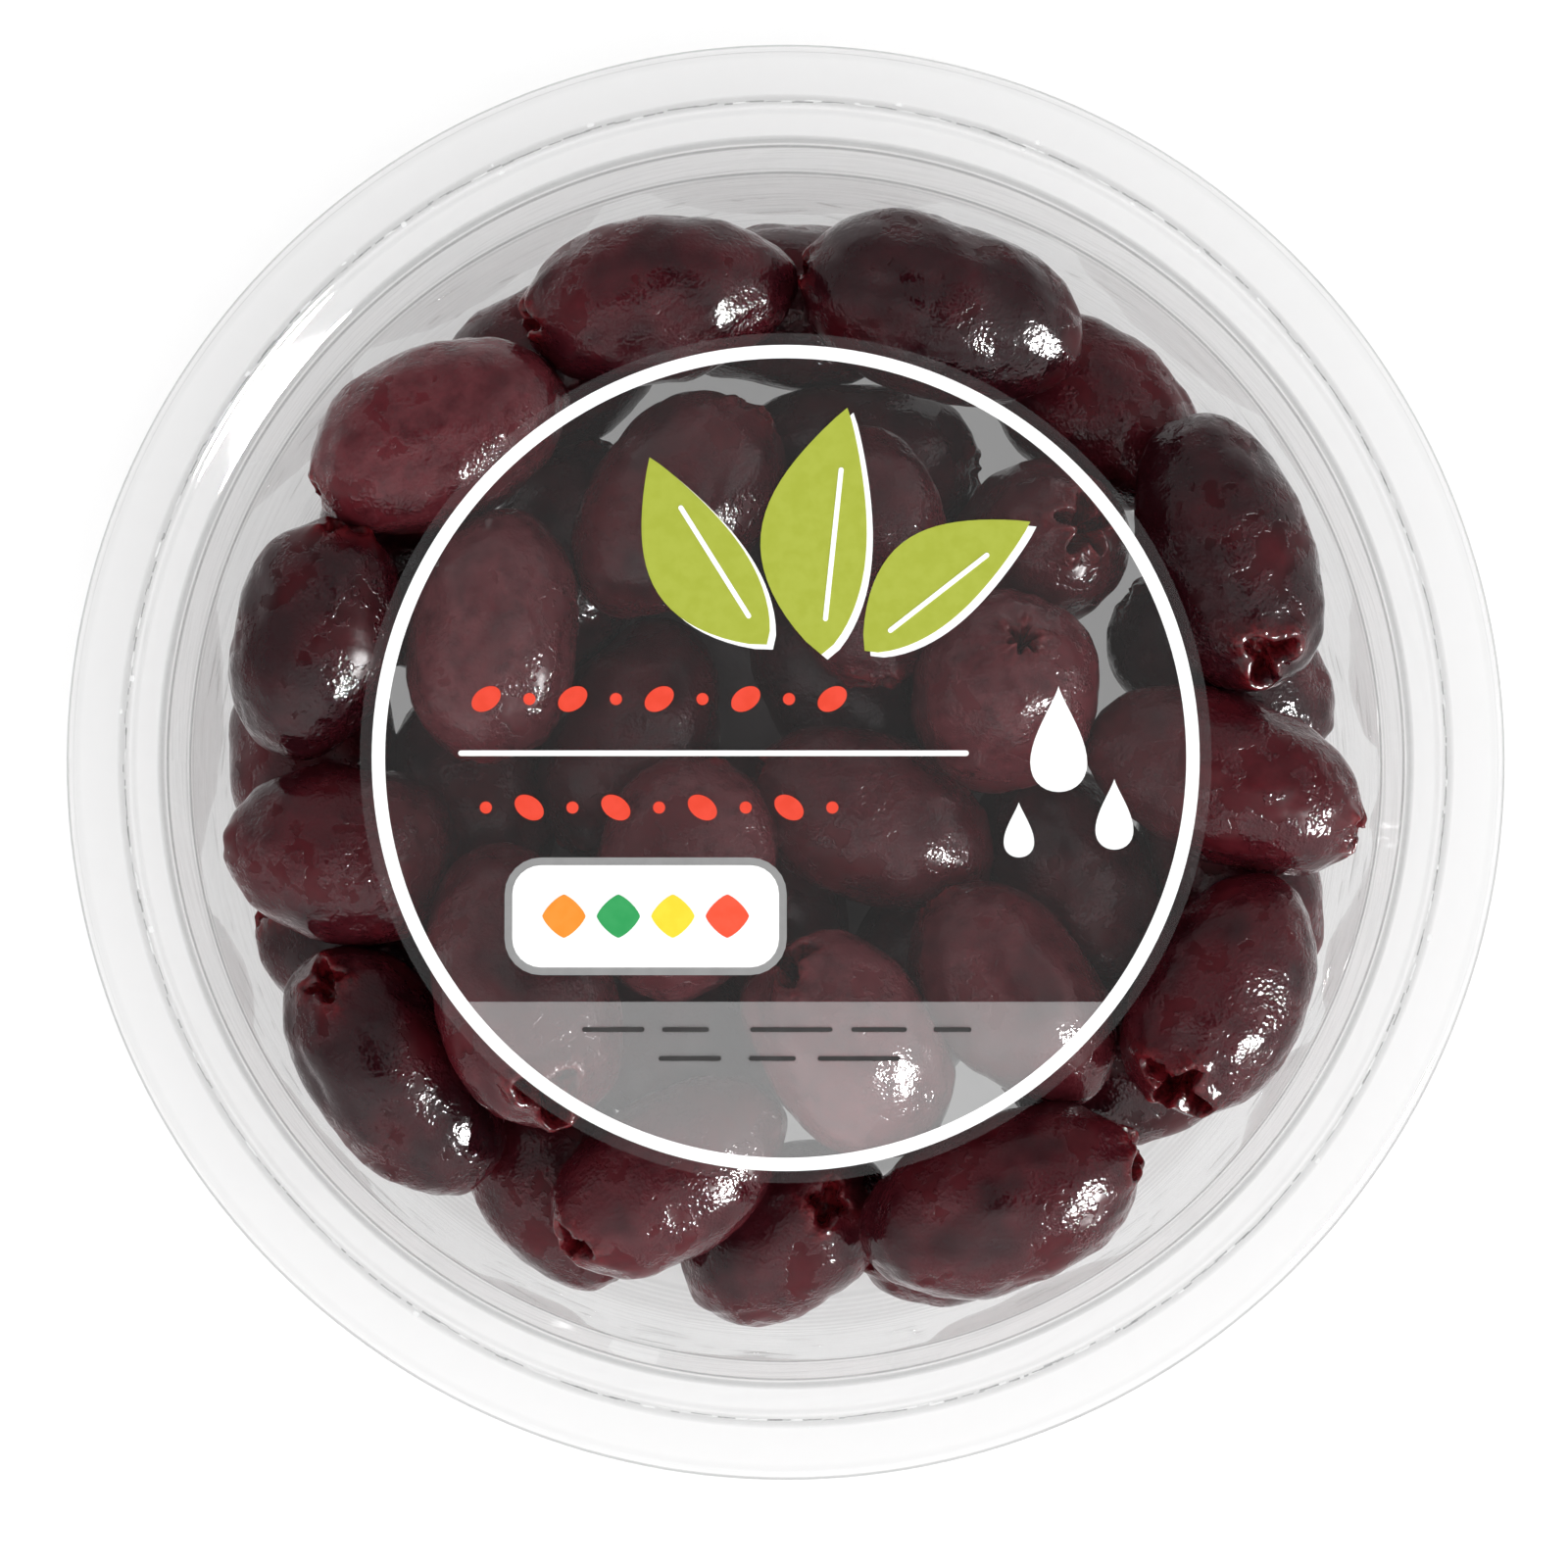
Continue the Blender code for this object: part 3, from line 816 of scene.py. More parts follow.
def new_object(name, mesh):
    """A new object in the scene."""
    obj = bpy.data.objects.new(name, mesh)
    bpy.context.scene.collection.objects.link(obj)
    return obj


def mesh_object(name, points, faces, material):
    """A smooth object from points in metres and faces."""
    mesh = bpy.data.meshes.new(name)
    mesh.from_pydata(np.asarray(points).tolist(), [], faces)
    mesh.shade_smooth()
    mesh.materials.append(material)
    return new_object(name, mesh)


def ride_as(obj, node=None):
    """The piece rides on the one body, and may stand for a solid."""
    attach(obj, "root")
    if node:
        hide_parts(node)
    return obj


def apply_modifiers(obj):
    """Makes the shape that the modifiers give the mesh of the object."""
    bpy.context.view_layer.update()
    shaped = obj.evaluated_get(bpy.context.evaluated_depsgraph_get())
    mesh = bpy.data.meshes.new_from_object(shaped)
    obj.modifiers.clear()
    obj.data = mesh
    return mesh


def joined(parts):
    """Joins (points, faces) parts into one list of points and one of faces."""
    points, faces, start = [], [], 0
    for part_points, part_faces in parts:
        points.append(np.asarray(part_points))
        faces.extend([tuple(corner + start for corner in face) for face in part_faces])
        start += len(part_points)
    return np.concatenate(points), faces


def arc(middle, radius, start, end, count):
    """Points along a part of a circle, between two angles in degrees."""
    angles = [math.radians(start + (end - start) * i / (count - 1)) for i in range(count)]
    return [(middle[0] + radius * math.cos(a), middle[1] + radius * math.sin(a)) for a in angles]


def tub_corners(settings):
    """The outer skin, from the lip to the middle: radius and height in millimetres, and painted bend shade.
    """
    rim, height, wall = settings.rim_radius / MM, settings.height / MM, settings.wall / MM
    under_flange = height - wall
    seal_edge = rim - FLANGE_WIDTH + wall
    neck = NECK_RADIUS + wall
    neck_foot = height - NECK_DROP
    step = STEP_RADIUS + wall
    heel_middle = (HEEL_TOP_RADIUS + wall - HEEL_ROUND, HEEL_ROUND)
    foot_inner = heel_middle[0] - FOOT_WIDTH
    heel = [(*point, HEEL_SHADE) for point in arc(heel_middle, HEEL_ROUND, 0, -90, HEEL_STEPS)]
    # The third value of each corner is painted shade for the dark line that its bend makes
    return [
        (rim - wall, height - LIP_DROP, 0.5),
        (rim - wall, under_flange - LIP_ROUND, 1.0),
        (rim - wall - LIP_ROUND, under_flange, 0.08),
        (seal_edge, under_flange, 0.55),
        (seal_edge - EDGE_ROUND, under_flange - EDGE_ROUND, 0.2),
        (neck + NECK_ROUND, neck_foot + NECK_ROUND, 0.8),
        (neck, neck_foot - LIP_ROUND, 1.0),
        (step + STEP_LEDGE, STEP_HEIGHT + EDGE_ROUND, 0.3),
        (step + STEP_ROUND, STEP_HEIGHT, 1.0),
        (step, STEP_HEIGHT - 2 * EDGE_ROUND, 0.3),
        *heel,
        (foot_inner, 0.0, 0.3),
        (foot_inner - FLOOR_RAMP, FLOOR_RAISE, 0.3),
        (0.0, FLOOR_RAISE, 0.0),
    ]


def softened(corners, reach, steps=4):
    """Rounds each corner of a line, from reach before it to reach after it. Points keep a painted bend shade.
    """
    places = [Vector(corner[:2]) for corner in corners]
    line = [(*places[0], corners[0][2])]
    for i in range(1, len(corners) - 1):
        corner, shade = places[i], corners[i][2]
        back, forward = places[i - 1] - corner, places[i + 1] - corner
        first = corner + back.normalized() * min(reach, back.length * CORNER_SHARE)
        last = corner + forward.normalized() * min(reach, forward.length * CORNER_SHARE)
        for k in range(steps + 1):
            share = k / steps
            point = first * (1 - share) ** 2 + corner * 2 * share * (1 - share) + last * share**2
            line.append((*point, shade * math.sin(math.pi * share)))
    line.append((*places[-1], 0.0))
    return line


def build_tub(settings):
    """The tub, turned from its outer skin and thickened inward."""
    line = softened(tub_corners(settings), CORNER_REACH)
    mesh = bpy.data.meshes.new("tub skin")
    points = [(radius * MM, 0.0, height * MM) for radius, height, _ in line]
    mesh.from_pydata(points, [(i, i + 1) for i in range(len(points) - 1)], [])
    mesh.attributes.new("bend", "FLOAT", "POINT").data.foreach_set("value", [shade for _, _, shade in line])
    tub = new_object("clear_tub", mesh)
    turn = tub.modifiers.new("Turn", "SCREW")
    turn.steps = settings.sides
    turn.render_steps = settings.sides
    turn.use_merge_vertices = True
    turn.merge_threshold = 0.00001
    turn.use_smooth_shade = True
    shell = tub.modifiers.new("Wall", "SOLIDIFY")
    shell.thickness = settings.wall
    shell.offset = -1.0
    shell.use_even_offset = True
    mesh = apply_modifiers(tub)
    mesh.materials.clear()
    plastic = clear_material("clear tub plastic", settings.steep_tint, 9.0, 0.05, 0.04, turned=True)
    mesh.materials.append(plastic)
    return ride_as(tub, "tub")


def plate(outline, low, high):
    """A flat shape with an outline of (across, along) points in millimetres, between two heights."""
    count = len(outline)
    points = [(x * MM, y * MM, z * MM) for z in (low, high) for x, y in outline]
    walls = [(i, (i + 1) % count, count + (i + 1) % count, count + i) for i in range(count)]
    return points, [tuple(reversed(range(count))), tuple(range(count, 2 * count)), *walls]


def hoop(inside, outside, low, high, sides):
    """A flat ring in millimetres, between two heights."""
    points, faces = [], []
    for i in range(sides):
        turn = 2 * math.pi * i / sides
        for radius, z in ((inside, low), (outside, low), (outside, high), (inside, high)):
            points.append((radius * math.cos(turn) * MM, radius * math.sin(turn) * MM, z * MM))
    for i in range(sides):
        here, there = 4 * i, 4 * ((i + 1) % sides)
        faces += [(here + k, there + k, there + (k + 1) % 4, here + (k + 1) % 4) for k in range(4)]
    return points, faces


def flat_object(name, parts, material):
    """A thin printed piece with sharp edges."""
    points, faces = joined(parts)
    mesh = bpy.data.meshes.new(name)
    mesh.from_pydata(points.tolist(), [], faces)
    bm = bmesh.new()
    bm.from_mesh(mesh)
    bmesh.ops.recalc_face_normals(bm, faces=bm.faces)
    bmesh.ops.triangulate(bm, faces=[face for face in bm.faces if len(face.verts) > 4])
    bm.to_mesh(mesh)
    bm.free()
    mesh.shade_smooth()
    mesh.set_sharp_from_angle(angle=math.radians(SHARP_EDGE))
    mesh.materials.append(material)
    return new_object(name, mesh)


def build_film(settings):
    """The clear film over the whole tub."""
    low, high = FILM_LOW.z / MM, FILM_HIGH.z / MM
    radius = settings.film_radius / MM
    edge = min(FILM_EDGE, (high - low) / 3)
    rings = [(radius - edge, low), (radius, low + edge), (radius, high - edge), (radius - edge, high)]
    sides = settings.sides
    points = [
        (r * math.cos(2 * math.pi * i / sides) * MM, r * math.sin(2 * math.pi * i / sides) * MM, z * MM)
        for r, z in rings
        for i in range(sides)
    ]
    faces = [tuple(reversed(range(sides))), tuple(range(3 * sides, 4 * sides))]
    for ring in range(3):
        for i in range(sides):
            here, there = ring * sides + i, ring * sides + (i + 1) % sides
            faces.append((here, there, there + sides, here + sides))
    film = mesh_object("clear_film", points, faces, None)
    film.data.materials.clear()
    film.data.set_sharp_from_angle(angle=math.radians(SHARP_EDGE))
    film.data.materials.append(clear_material("clear film", FILM_TINT, 30.0, 0.03, 0.0))
    return ride_as(film, "film_lid")


def arc_strip(turn, span, radius, width, low, high, steps=4):
    """A short curved mark on a circle, in millimetres and degrees."""
    angles = [math.radians(turn + span * (i / steps - 0.5)) for i in range(steps + 1)]
    inner = [((radius - width / 2) * math.cos(a), (radius - width / 2) * math.sin(a)) for a in angles]
    outer = [((radius + width / 2) * math.cos(a), (radius + width / 2) * math.sin(a)) for a in angles]
    return plate(outer + inner[::-1], low, high)


def build_seal_marks(settings):
    """The broken line that the sealing tool left on the film, with crumbs of clear plastic."""
    draw = np.random.default_rng(SEAL_SEED)
    seal = settings.rim_radius / MM - FLANGE_WIDTH + SEAM_OFFSET
    top = FILM_HIGH.z / MM
    mark_heights = [top + height for height in MARK_LAYER]
    crumb_heights = [top + height for height in CRUMB_LAYER]
    dark, pale = [], []
    for i in range(settings.mark_count):
        turn = 360 * (i + draw.uniform(-MARK_SHIFT, MARK_SHIFT)) / settings.mark_count
        span = draw.uniform(*MARK_SPAN)
        width = draw.uniform(*MARK_WIDTH)
        radius = seal + draw.normal(0, MARK_WANDER)
        group = pale if draw.uniform() < PALE_MARKS else dark
        group.append(arc_strip(turn, span, radius, width, *mark_heights))
    for _ in range(CRUMB_COUNT):
        turn = draw.uniform(0, 360)
        radius = seal + draw.uniform(-CRUMB_WANDER, CRUMB_WANDER)
        span = draw.uniform(*CRUMB_SPAN)
        width = draw.uniform(*CRUMB_WIDTH)
        pale.append(arc_strip(turn, span, radius, width, *crumb_heights))
    grey = flat_object("seal_marks", dark, print_material("seal line", (0.30, 0.30, 0.30), 0.62, 0.2))
    white = flat_object("seal_crumbs", pale, print_material("seal crumbs", (0.85, 0.85, 0.85), 0.7, 0.2))
    return [ride_as(grey), ride_as(white)]


def chord_piece(radius, cut, above):
    """The part of a disc above or below a level line, as an outline."""
    start = math.degrees(math.asin(cut / radius))
    end = 180 - start
    first, last = (start, end) if above else (end, 360 + start)
    steps = 120
    angles = [math.radians(first + (last - first) * i / steps) for i in range(steps + 1)]
    return [(radius * math.cos(a), radius * math.sin(a)) for a in angles]


def build_label_fields(settings):
    """The see-through carrier, the dark field, the pale band and the white ring."""
    inside, outside = settings.ring_inside / MM, settings.ring_outside / MM
    band = settings.band_top / MM
    carrier = hoop(outside - 0.1, settings.radius / MM - 0.02, *CARRIER_LAYER, LABEL_SIDES)
    veil = plate(chord_piece(inside + 0.1, band, True), *VEIL_LAYER)
    pale = plate(chord_piece(inside + 0.1, band, False), *VEIL_LAYER)
    ring = hoop(inside, outside, *RING_LAYER, LABEL_SIDES)
    pieces = (
        ("label_veil", veil, settings.veil, 0.107, "label"),
        ("label_margin", carrier, settings.white, 0.028, None),
        ("label_band", pale, settings.white, 0.205, None),
        ("label_ring", ring, settings.white, 1.0, None),
    )
    for name, part, colour, alpha, node in pieces:
        material = print_material(name.replace("_", " "), colour, alpha, 0.4)
        ride_as(flat_object(name, [part], material), node)


def moved(outline, mark, shift=(0.0, 0.0)):
    """An outline turned and placed as a mark says."""
    turn = math.radians(mark.turn)
    cos, sin = math.cos(turn), math.sin(turn)
    across, along = mark.across + shift[0], mark.along + shift[1]
    return [(across + x * cos - y * sin, along + x * sin + y * cos) for x, y in outline]


def leaf_outline(mark, steps=22):
    """A leaf with a pointed tip and a rounded foot, bent a little."""
    line = []
    for side in (1, -1):
        for i in range(steps):
            share = i / steps if side > 0 else 1 - i / steps
            half = mark.width / 2 * math.sin(math.pi * share**0.85) ** 0.9
            bend = 0.08 * mark.length * math.sin(math.pi * share)
            line.append((mark.length * (share - 0.5), side * half + bend))
    return line


def bar_outline(mark, steps=10):
    """A bar with round ends."""
    half, reach = mark.width / 2, mark.length / 2 - mark.width / 2
    right = [(reach + half * math.sin(a), -half * math.cos(a)) for a in np.linspace(0, math.pi, steps)]
    left = [(-reach - half * math.sin(a), half * math.cos(a)) for a in np.linspace(0, math.pi, steps)]
    return right + left


def oval_outline(length, width, steps=28):
    """An oval, long along X."""
    turns = [2 * math.pi * i / steps for i in range(steps)]
    return [(length / 2 * math.cos(turn), width / 2 * math.sin(turn)) for turn in turns]


def drop_outline(mark, steps=40):
    """A falling drop, its point along +X."""
    line = []
    for i in range(steps):
        turn = 2 * math.pi * i / steps
        taper = math.sin(turn / 2) ** 1.6
        line.append((mark.length / 2 * math.cos(turn), mark.width * 0.62 * math.sin(turn) * taper))
    return line


def panel_outline(mark, corner, grow=0.0, steps=7):
    """A rectangle with round corners."""
    across, along = mark.length / 2 + grow, mark.width / 2 + grow
    radius = corner + grow
    line = []
    for turn, sx, sy in ((0, 1, 1), (90, -1, 1), (180, -1, -1), (270, 1, -1)):
        middle = (sx * (across - radius), sy * (along - radius))
        line += arc(middle, radius, turn, turn + 90, steps)
    return line


def chip_outline(size, steps=32):
    """A soft-cornered diamond."""
    half = size / 2
    line = []
    for turn in np.linspace(0, 2 * math.pi, steps, endpoint=False):
        cos, sin = math.cos(turn), math.sin(turn)
        across = math.copysign(abs(cos) ** CHIP_POWER, cos) * half
        line.append((across, math.copysign(abs(sin) ** CHIP_POWER, sin) * half))
    return line


def bead_parts():
    """Rows of large and small beads in turn."""
    parts = []
    for row, along in enumerate(BEAD_ROWS):
        for i in range(BEAD_COUNT):
            large = (i + row) % 2 == 0
            length, width = BEAD_LARGE if large else BEAD_SMALL
            turn = BEAD_TURN if row == 0 else -BEAD_TURN
            mark = Mark(BEAD_START + BEAD_STEP * i, along, length, width, turn)
            parts.append(plate(moved(oval_outline(length, width), mark), *PRINT_LAYER))
    return parts


def foot_parts():
    """Thin dark dashes on the pale band."""
    parts = []
    for along, starts in FOOT_DASHES:
        for length, across in zip(FOOT_DASH_LENGTHS, starts):
            mark = Mark(across, along, length, FOOT_DASH_WIDTH, 0)
            parts.append(plate(moved(bar_outline(mark), mark), *PRINT_LAYER))
    return parts


def build_print(settings):
    """Plain shapes in the label's colours."""
    white = [plate(moved(leaf_outline(leaf), leaf, LEAF_SHADOW), *SHADOW_LAYER) for leaf in LEAVES]
    green = [plate(moved(leaf_outline(leaf), leaf), *PRINT_LAYER) for leaf in LEAVES]
    ribs = [plate(moved(bar_outline(rib), rib), *TOP_LAYER) for rib in LEAF_RIBS]
    drops = [plate(moved(drop_outline(drop), drop), *PRINT_LAYER) for drop in DROPS]
    rule = plate(moved(bar_outline(RULE), RULE), *PRINT_LAYER)
    border = plate(moved(panel_outline(PANEL, PANEL_ROUND, PANEL_BORDER), PANEL), *SHADOW_LAYER)
    panel = plate(moved(panel_outline(PANEL, PANEL_ROUND), PANEL), *PRINT_LAYER)
    groups = [
        ("print_white", [*white, *ribs, *drops, rule, panel], settings.white, 0.35),
        ("print_green", green, settings.green, 0.4),
        ("print_red", bead_parts(), settings.red, 0.4),
        ("print_border", [border], settings.grey, 0.4),
        ("print_dashes", foot_parts(), DASH_COLOUR, 0.4),
    ]
    for i, chip in enumerate(CHIP_COLOURS):
        across = PANEL.across + CHIP_STEP * (i - 1.5)
        mark = Mark(across, PANEL.along, CHIP_SIZE, CHIP_SIZE, 0)
        part = plate(moved(chip_outline(CHIP_SIZE), mark), *TOP_LAYER)
        groups.append((f"print_chip_{i + 1}", [part], chip, 0.4))
    for name, parts, colour, roughness in groups:
        material = print_material(name.replace("_", " "), colour, 1.0, roughness)
        ride_as(flat_object(name, parts, material))


def bottom_olives():
    """The layer on the floor: a row along the wall, a row inside it, and a pair in the middle."""
    draw = np.random.default_rng(SEED)
    places = []
    for radius, angles in ((WALL_ROW_RADIUS, WALL_ROW_ANGLES), (INNER_ROW_RADIUS, INNER_ROW_ANGLES)):
        for angle in angles:
            turn = math.radians(angle)
            places.append((radius * math.cos(turn), radius * math.sin(turn), angle + 90))
    places += [(-MIDDLE_PAIR_OFFSET, 0.0, 80), (MIDDLE_PAIR_OFFSET, 0.0, 100)]
    olives = []
    for across, along, heading in places:
        length = OLIVE_LENGTH * (1 + draw.uniform(-SIZE_SPREAD, SIZE_SPREAD))
        width = OLIVE_WIDTH * (1 + draw.uniform(-SIZE_SPREAD, SIZE_SPREAD) / 2)
        heading += draw.uniform(-TURN_SPREAD, TURN_SPREAD) + 180 * draw.integers(2)
        pitch = draw.uniform(-PITCH_SPREAD, PITCH_SPREAD)
        olives.append(Olive(across, along, BOTTOM_HEIGHT, length, width, heading, pitch))
    return olives


def pointing(heading, pitch):
    """Directions of length 1 from angles in degrees."""
    heading, pitch = np.radians(heading), np.radians(pitch)
    return np.stack([np.cos(pitch) * np.cos(heading), np.cos(pitch) * np.sin(heading), np.sin(pitch)], -1)


def inside_radius(height):
    """The clear radius inside the tub at a height over the table, in millimetres."""
    share = np.clip((height - HEEL_ROUND) / (STEP_HEIGHT - HEEL_ROUND), 0, 1)
    return HEEL_TOP_RADIUS + (STEP_RADIUS - HEEL_TOP_RADIUS) * share - OLIVE_CLEARANCE


def settle(olives, wall):
    """Lets the olives sink and push each other apart. Each is a row of balls that fit inside it."""
    across, along, height, length, width, heading, pitch = np.array(olives).T
    centres = np.stack([across, along, height], -1)
    axes = pointing(heading, pitch)
    home, home_axes = centres.copy(), axes.copy()
    pull = np.full((len(olives), 1), HIDDEN_PULL)
    pull[: len(SHOWN_OLIVES)] = SHOWN_PULL
    spare = (length / 2) ** 2 - (width / 2) ** 2
    spots = np.linspace(-1, 1, BALLS) * (spare / (length / 2))[:, None]
    radii = (width / 2)[:, None] * np.sqrt(1 - spots**2 / spare[:, None])
    owner = np.repeat(np.arange(len(olives)), BALLS)
    others = owner[:, None] != owner[None]
    floor = FLOOR_RAISE + wall + OLIVE_CLEARANCE
    for step in range(SETTLE_ROUNDS):
        balls = (centres[:, None] + axes[:, None] * spots[..., None]).reshape(-1, 3)
        flat_radii = radii.reshape(-1)
        apart = balls[:, None] - balls[None]
        distance = np.linalg.norm(apart, axis=-1) + 1e-9
        overlap = np.clip(flat_radii[:, None] + flat_radii[None] - distance, 0, None) * others
        push = PUSH_SHARE * (overlap[..., None] * apart / distance[..., None]).sum(axis=1)
        from_axis = np.linalg.norm(balls[:, :2], axis=-1)
        beyond = np.clip(from_axis + flat_radii - inside_radius(balls[:, 2]), 0, None)
        push[:, :2] -= balls[:, :2] * (beyond / (from_axis + 1e-9))[:, None]
        push[:, 2] += np.clip(floor - (balls[:, 2] - flat_radii), 0, None)
        push[:, 2] -= SINK * (step < SETTLE_ROUNDS - CALM_ROUNDS)
        shifted = (balls + push).reshape(len(olives), BALLS, 3)
        centres = shifted.mean(axis=1)
        centres += pull * (home - centres)
        axes = unit(unit((shifted * spots[..., None]).sum(axis=1)) + TURN_SHARE * pull * home_axes)
    turns = np.degrees(np.arctan2(axes[:, 1], axes[:, 0]))
    rises = np.degrees(np.arcsin(axes[:, 2]))
    columns = (*centres.T, length, width, turns, rises)
    return [Olive(*row) for row in zip(*(column.tolist() for column in columns))]


def settled_heap(wall):
    """Every olive in its place, with its look."""
    draw = np.random.default_rng(SEED + 1)
    hidden = bottom_olives()
    places = settle([olive for olive, _ in SHOWN_OLIVES] + hidden, wall)
    looks = [look for _, look in SHOWN_OLIVES]
    for _ in hidden:
        hole = draw.uniform(*HIDDEN_HOLE)
        lobes = FEWEST_LOBES + int(draw.integers(LOBE_COUNTS))
        looks.append(Look(hole, lobes, draw.uniform(*HIDDEN_LIFT), draw.uniform(*HIDDEN_REDNESS)))
    return list(zip(places, looks))


def olive_grid(olive, rings, sides):
    """Points of a smooth olive in millimetres: rings from the pitted end at +X to the pointed end."""
    step = np.arange(1, rings) / rings
    angle = np.pi * (step - POLE_CROWDING * np.sin(2 * np.pi * step) / (2 * np.pi))
    share = np.concatenate([[1.0], np.repeat(np.cos(angle), sides), [-1.0]])
    around = np.concatenate([[0.0], np.tile(2 * np.pi * np.arange(sides) / sides, rings - 1), [0.0]])
    blunt = (1 - np.abs(share) ** BLUNT_POWER) ** BLUNT_ROOT
    pointed = (1 - np.abs(share) ** POINTED_POWER) ** POINTED_ROOT
    radius = olive.width / 2 * np.where(share > 0, blunt, pointed)
    points = np.stack([olive.length / 2 * share, radius * np.cos(around), radius * np.sin(around)], -1)
    return points, share, radius


def grid_faces(rings, sides):
    """Faces between the points of an olive."""
    faces = [(0, 1 + (i + 1) % sides, 1 + i) for i in range(sides)]
    for ring in range(rings - 2):
        start = 1 + ring * sides
        faces += [
            (start + i, start + (i + 1) % sides, start + sides + (i + 1) % sides, start + sides + i)
            for i in range(sides)
        ]
    last = 1 + (rings - 2) * sides
    end = last + sides
    faces += [(last + i, last + (i + 1) % sides, end) for i in range(sides)]
    return faces


def dented(points, draw):
    """Depth of a few shallow dents."""
    depth = np.zeros(len(points))
    for _ in range(DENTS):
        middle = points[draw.integers(len(points))]
        reach = draw.uniform(*DENT_REACH)
        depth += draw.uniform(*DENT_DEPTH) * np.exp(-((points - middle) ** 2).sum(-1) / reach**2)
    return depth


def creased(points, share, draw):
    """Depth of a few wandering creases that run along the olive."""
    around = np.arctan2(points[:, 2], points[:, 1])
    radius = np.hypot(points[:, 1], points[:, 2])
    depth = np.zeros(len(points))
    for _ in range(CREASES):
        wander = CREASE_WANDER * np.sin(draw.uniform(2, 5) * share + draw.uniform(0, 2 * np.pi))
        turned = around - draw.uniform(-np.pi, np.pi) - wander
        aside = np.abs((turned + np.pi) % (2 * np.pi) - np.pi) * radius
        along = np.exp(-(((share - draw.uniform(-0.7, 0.7)) / draw.uniform(0.15, 0.5)) ** 2))
        depth += draw.uniform(*CREASE_DEPTH) * np.exp(-((aside / draw.uniform(*CREASE_WIDTH)) ** 2)) * along
    return depth


def round_the_hole(points, olive, look):
    """Each point's distance from the hole's middle and angle round it, and the way out of the hole."""
    lift = math.radians(look.lift)
    radius = olive.width / 2 * (1 - math.cos(lift) ** BLUNT_POWER) ** BLUNT_ROOT
    middle = np.array([olive.length / 2 * math.cos(lift), 0.0, radius])
    outward = unit(middle / np.array([olive.length, olive.width, olive.width]) ** 2)
    sideways = np.array([0.0, 1.0, 0.0])
    onward = np.cross(sideways, outward)
    offset = points - middle
    level, side, depth = offset @ onward, offset @ sideways, offset @ outward
    reach = np.hypot(level, side) + HOLE_SIGHT_LOSS * np.clip(-depth - HOLE_SIGHT, 0, None)
    return reach, np.arctan2(side, level), outward


def shape_olive(olive, look, number, rings, sides, unevenness):
    """One uneven olive in the row frame, with how torn each of its points is."""
    draw = np.random.default_rng(SEED * 100 + number)
    points, share, radius = olive_grid(olive, rings, sides)
    normals = unit(points / np.array([olive.length, olive.width, olive.width]) ** 2)
    rise = sum(
        height * waves(points, length, number * 10 + i)
        for i, (length, height) in enumerate(SKIN_WAVES)
    )
    rise -= dented(points, draw)
    reach, around, outward = round_the_hole(points, olive, look)
    opened = np.abs(np.cos(look.lobes / 2 * (around - draw.uniform(0, LOBE_TURN)))) ** LOBE_POWER
    askew = HOLE_ASKEW * np.sin(2 * around + number)
    beyond = reach - look.hole * (HOLE_LEAST + HOLE_OPENED * opened + askew)
    into = smooth(0.5 - beyond / HOLE_EDGE)
    rise -= creased(points, share, draw)
    pucker = np.abs(np.sin(look.lobes * (around + PUCKER_WANDER * np.sin(3 * around + number))))
    rise -= PUCKER_DEPTH * pucker * np.exp(-np.clip(beyond, 0, None) / PUCKER_REACH)
    lip = np.exp(-(((beyond - LIP_PLACE) / LIP_WIDTH) ** 2))
    lip = lip * (1 + LIP_WAVE_HEIGHT * waves(points, LIP_WAVE, number + 500))
    scar = smooth((-share - SCAR_START) / SCAR_RUN) * np.exp(-((radius / SCAR_RADIUS) ** 2))
    flesh = FLESH_WAVE_HEIGHT * waves(points, FLESH_WAVE, number + 700)
    points = points + normals * (rise * unevenness)[:, None]
    depth = into * (look.hole * HOLE_DEPTH + flesh)
    points += outward * (LIP_SHARE * look.hole * lip * (1 - into) - depth)[:, None]
    points[:, 0] += SCAR_RISE * scar
    torn = np.clip(into * TORN_HOLE + TORN_LIP * lip + TORN_SCAR * scar, 0, 1)
    turn = np.array(Euler((0.0, -math.radians(olive.pitch), math.radians(olive.heading))).to_matrix())
    placed = points @ turn.T + np.array([olive.across, olive.along, olive.height])
    return placed * MM, torn


def build_olives(name, heap, first, rings, sides, settings, material):
    """Some of the olives as one mesh."""
    faces = grid_faces(rings, sides)
    parts, torn, redness = [], [], []
    for number, (olive, look) in enumerate(heap, start=first):
        points, torn_share = shape_olive(olive, look, number, rings, sides, settings.unevenness)
        parts.append((points, faces))
        torn.append(torn_share)
        redness.append(np.full(len(points), look.redness))
    points, all_faces = joined(parts)
    obj = mesh_object(name, points, all_faces, material)
    for title, values in (("torn", torn), ("redness", redness)):
        layer = obj.data.attributes.new(title, "FLOAT", "POINT")
        layer.data.foreach_set("value", np.concatenate(values).astype(np.float32))
    return ride_as(obj, "olives")


